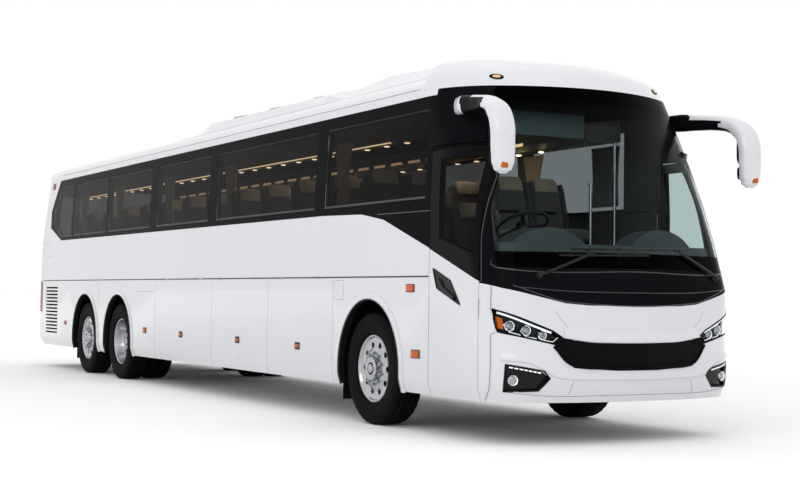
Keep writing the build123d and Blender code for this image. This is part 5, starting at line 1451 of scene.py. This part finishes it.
CURTAIN_X = 1.128
for side_name, side in SIDES:
    for number, distance in enumerate((0.80, 3.74, 5.84, 7.90, 9.62), 1):
        curtain(
            f"curtain_{side_name}_{number}", curtain_cloth, (side * CURTAIN_X, at(distance)),
            widths=(0.26, 0.14, 0.36), pleats=6, flat_width=0.62, bottom=1.98, top=2.705,
        )
curtain(
    "curtain_entrance", dark_curtain_cloth, (CURTAIN_X, at(-0.47)),
    widths=(0.40, 0.38, 0.44), pleats=9, flat_width=0.85, bottom=2.10, top=2.695,
)

# ------------------------------------------------------------------ rear lamps
# Tall dark red clusters wrapped round the rear corners: a black bezel, two round lenses and an
# amber indicator, with a small red marker high on each corner and reflectors on the bumper.
rear_frames, rear_round, rear_amber, rear_red = (bmesh.new() for _ in range(4))
for view, side in SIDES:
    moulding(rear_frames, "rear", oblong(side * 1.245, 0.885, side * 1.030, 1.345), 0.016, 0.006)
    for z in (1.255, 1.115):
        place, normal = cast("rear", side * 1.12, z)
        lathe(
            rear_frames, place, normal, ((-0.004, 0.066), (0.006, 0.064), (0.009, 0.058), (0.005, 0.055)), 32,
        )
        lathe(
            rear_round, place, normal, ((-0.002, 0.056), (0.010, 0.046), (0.016, 0.026), (0.018, 0.0002)), 32,
        )
    boss(rear_amber, "rear", oblong(side * 1.055, 0.905, side * 1.20, 1.005), (0, 0.006, 0), 0.001, 0.04)
    boss(rear_red, "rear", oblong(side * 0.86, 0.455, side * 1.08, 0.505), (0, 0.006, 0), 0.0, 0.05)
    boss(rear_red, view, oblong(at(10.95), 2.83, at(11.08), 2.93), (side * 0.008, 0, 0), 0.0, 0.05)
new_piece("rear_lamp_frames", rear_frames, black_plastic)
new_piece("rear_lamp_rounds", rear_round, red_lens)
new_piece("rear_lamp_indicators", rear_amber, amber_lens)
new_piece("rear_reflectors", rear_red, red_lens)

# ------------------------------------------------------------------ engine lid fittings
# Black slatted air outlet and a pull handle on the lid, with a blank plate on the bumper below.
lid_slats, plate_mesh, plate_frame = bmesh.new(), bmesh.new(), bmesh.new()
boss(lid_slats, "rear", oblong(-0.62, 1.02, 0.62, 1.42), (0, 0.002, 0), 0.0005, 0.1)
moulding(lid_slats, "rear", oblong(-0.64, 1.00, 0.64, 1.44), 0.022, 0.010, closed=True, step=0.05)
for index in range(10):
    height = 1.045 + 0.039 * index
    moulding(lid_slats, "rear", ((-0.625, height), (0.625, height)), 0.020, 0.012, step=0.1)
moulding(lid_slats, "rear", ((-0.13, 0.74), (0.13, 0.74)), 0.030, 0.026, step=0.05)
new_piece("engine_lid_slats", lid_slats, black_plastic, "engine_lid")
boss(plate_mesh, "rear", oblong(-0.255, 0.425, 0.255, 0.530), (0, 0.004, 0), 0.001, 0.1)
moulding(plate_frame, "rear", oblong(-0.265, 0.415, 0.265, 0.540), 0.016, 0.009, closed=True, step=0.1)
plate_paint = finish("plate_paint", (0.72, 0.72, 0.70), (0.68, 0.68, 0.66), 0.3, 3.0, 200.0, 0.05)
new_piece("rear_plate", plate_mesh, plate_paint)
new_piece("rear_plate_frame", plate_frame, black_plastic)

# ------------------------------------------------------------------ luggage door locks
# A small round lock, painted with the body, low in the middle of each luggage door.
for side_name, side in SIDES:
    for number, distance in ((1, 1.505), (2, 3.12), (3, 4.94)):
        lock = bmesh.new()
        place, _ = cast(side_name, at(distance), 0.500)
        lathe(
            lock, place, (side, 0, 0),
            ((-0.003, 0.024), (0.003, 0.024), (0.005, 0.021), (0.003, 0.017), (0.003, 0.0002)), 24,
        )
        new_piece(f"door_lock_{side_name}_{number}", lock, white_paint, f"luggage_door_{side_name}_{number}")

# ------------------------------------------------------------------ running gear details
# Rubber air springs and dampers between axles and rails, and the propeller shaft to the drive
# axle's gear casing.
springs, shafts = bmesh.new(), bmesh.new()
hubs = {axle_name: centre for axle_name, _, _, centre in WHEELS}
for axle_name in ("front", "drive", "tag"):
    for side in (-1, 1):
        foot = Vector((side * 0.62, hubs[axle_name].y + 0.19, 0.47))
        lathe(springs, foot, (0, 0, 1), (
            (0.0, 0.0002), (0.0, 0.10), (0.05, 0.11), (0.07, 0.14), (0.11, 0.155), (0.15, 0.14),
            (0.17, 0.125),
            (0.19, 0.14), (0.23, 0.155), (0.27, 0.14), (0.285, 0.11), (0.285, 0.0002),
        ), 28)
        damper = Vector((side * 0.70, hubs[axle_name].y - 0.16, 0.43))
        lathe(
            shafts, damper, (0, 0.12, 1),
            ((0.0, 0.0002), (0.0, 0.032), (0.22, 0.032), (0.225, 0.022), (0.36, 0.022), (0.36, 0.0002)), 18,
        )
lathe(shafts, (0, hubs["drive"].y + 0.20, 0.54), (0, 1, 0.05), (
    (0.0, 0.0002), (0.0, 0.075), (0.02, 0.075), (0.025, 0.045), (0.06, 0.05), (0.075, 0.055), (0.62, 0.055),
    (0.64, 0.05), (0.68, 0.075), (0.70, 0.075), (0.70, 0.0002),
), 24)
bmesh.ops.recalc_face_normals(springs, faces=springs.faces[:])
bmesh.ops.recalc_face_normals(shafts, faces=shafts.faces[:])
new_piece("air_springs", springs, flap_rubber)
new_piece("dampers_and_shaft", shafts, chassis_paint)

# ------------------------------------------------------------------ sun blind
# A grey-green roller blind behind the screen's top corner, let down a little from its cassette.
blind, cassette = bmesh.new(), bmesh.new()
BLIND_WIDTH, BLIND_TOP = 0.78, 2.80
for mesh, low, high, depth in ((blind, 2.60, BLIND_TOP, 0.002), (cassette, BLIND_TOP, 2.86, 0.05)):
    block(mesh, (BLIND_WIDTH, depth, high - low), (-BLIND_WIDTH / 2, at(-1.66), (low + high) / 2))
ease_edges(cassette, 0.008)
blind_cloth = finish("blind_cloth", (0.055, 0.075, 0.078), (0.045, 0.062, 0.065), 0.8, 4.0, 900.0, 0.3)
sun_blind = new_piece("sun_blind", blind, blind_cloth)
new_piece("sun_blind_cassette", cassette, black_plastic)

# ------------------------------------------------------------------ entrance post trim
# A padded dark panel on the inside of the body post between the entrance door and the first window.
post = bmesh.new()
block(post, (0.020, 0.40, 0.84), (1.202, at(-0.88), 2.452))
ease_edges(post, 0.007)
new_piece("entrance_post_trim", post, lining)

# ------------------------------------------------------------------ seams in the black glazing
# Thin rubber joints: ahead of the first window on each side, and between the band and the door. They are
# painted a lighter grey than the black band, a painted highlight for the light that their edges catch.
band_joint_highlights = bmesh.new()
for line in (
    ((at(-1.827), 2.646), (at(-1.811), 2.486), (at(-1.912), 2.197), (at(-1.940), 1.718), (at(-2.003), 1.320)),
    ((at(-0.195), 1.951), (at(-1.174), 1.944)),
):
    for view, points in both(line):
        moulding(band_joint_highlights, view, points, 0.006, 0.0015, step=0.05)
joint_highlight_grey = finish("joint_highlight_grey", (0.075, 0.08, 0.085), (0.06, 0.064, 0.07), 0.35, 4.0, 120.0, 0.05)
new_piece("band_seams_painted_highlight", band_joint_highlights, joint_highlight_grey)

# ------------------------------------------------------------------ roof joints and fans
# Sealed joints along the eaves and round the two roof pods, fan grilles on the cooling unit's top
# and two escape hatches behind it.
roof_gaps, fans = bmesh.new(), bmesh.new()
for view, side in SIDES:
    moulding(roof_gaps, view, ((at(-0.88), 3.035), (at(10.60), 3.035)), 0.007, 0.002, step=0.10)
    moulding(roof_gaps, "top", ((side * 1.055, at(1.33)), (side * 1.060, at(5.64))), 0.014, 0.004, step=0.10)
    moulding(roof_gaps, "top", ((side * 1.085, at(-0.80)), (side * 1.045, at(1.31))), 0.010, 0.003, step=0.10)
for distance in (1.33, 5.66):
    moulding(roof_gaps, "top", ((-1.05, at(distance)), (1.05, at(distance))), 0.014, 0.004, step=0.05)
FAN, FAN_BARS, BAR_PITCH = 0.265, 9, 0.056
for x, distance in [(x, distance) for distance in (2.3, 3.5, 4.6) for x in (-0.45, 0.45)]:
    centre, normal = cast("top", x, at(distance))
    lathe(
        fans, centre, normal, ((-0.004, 0.29), (0.002, 0.29), (0.004, 0.28), (0.002, 0.262), (-0.004, 0.262)),
        40,
    )
    for index in range(FAN_BARS):
        along = BAR_PITCH * (index - FAN_BARS // 2)
        half = math.sqrt(FAN ** 2 - along ** 2)
        moulding(
            fans, "top", ((x - half, at(distance) + along), (x + half, at(distance) + along)), 0.012, 0.003,
            step=0.09,
        )
for distance in (7.2, 9.6):
    hatch = oblong(-0.34, at(distance) - 0.30, 0.34, at(distance) + 0.30)
    moulding(roof_gaps, "top", hatch, 0.030, 0.022, step=0.06, closed=True)
seal_grey = finish("seal_grey", (0.33, 0.335, 0.345), (0.28, 0.285, 0.295), 0.55, 6.0, 140.0, 0.05)
new_piece("roof_seams", roof_gaps, seal_grey)
new_piece("roof_fan_grilles", fans, seal_grey)

# ------------------------------------------------------------------ grab rails and window bar
# Steel rails beside the entrance, and the upright bar in the entrance door's window.
rails, bars = bmesh.new(), bmesh.new()
for x, distance, low, high in ((1.10, -0.66, 1.45, 2.72), (0.78, -0.70, 1.001, 2.30)):
    lathe(
        rails, Vector((x, at(distance), low)), (0, 0, 1),
        ((0, 0.018), (0.01, 0.016), (high - low - 0.01, 0.016), (high - low, 0.018)), 16,
    )
    for end in (low, high):
        lathe(
            rails, Vector((x, at(distance), end - 0.006)), (0, 0, 1),
            ((0, 0.034), (0.008, 0.034), (0.012, 0.018)), 20,
        )
lathe(bars, Vector((1.196, at(-1.26), 1.72)), (0, 0, 1), ((0, 0.012), (0.80, 0.012)), 12)
new_piece("grab_rails", rails, aluminium)
new_piece("entrance_window_bar", bars, black_plastic, "entrance_door")
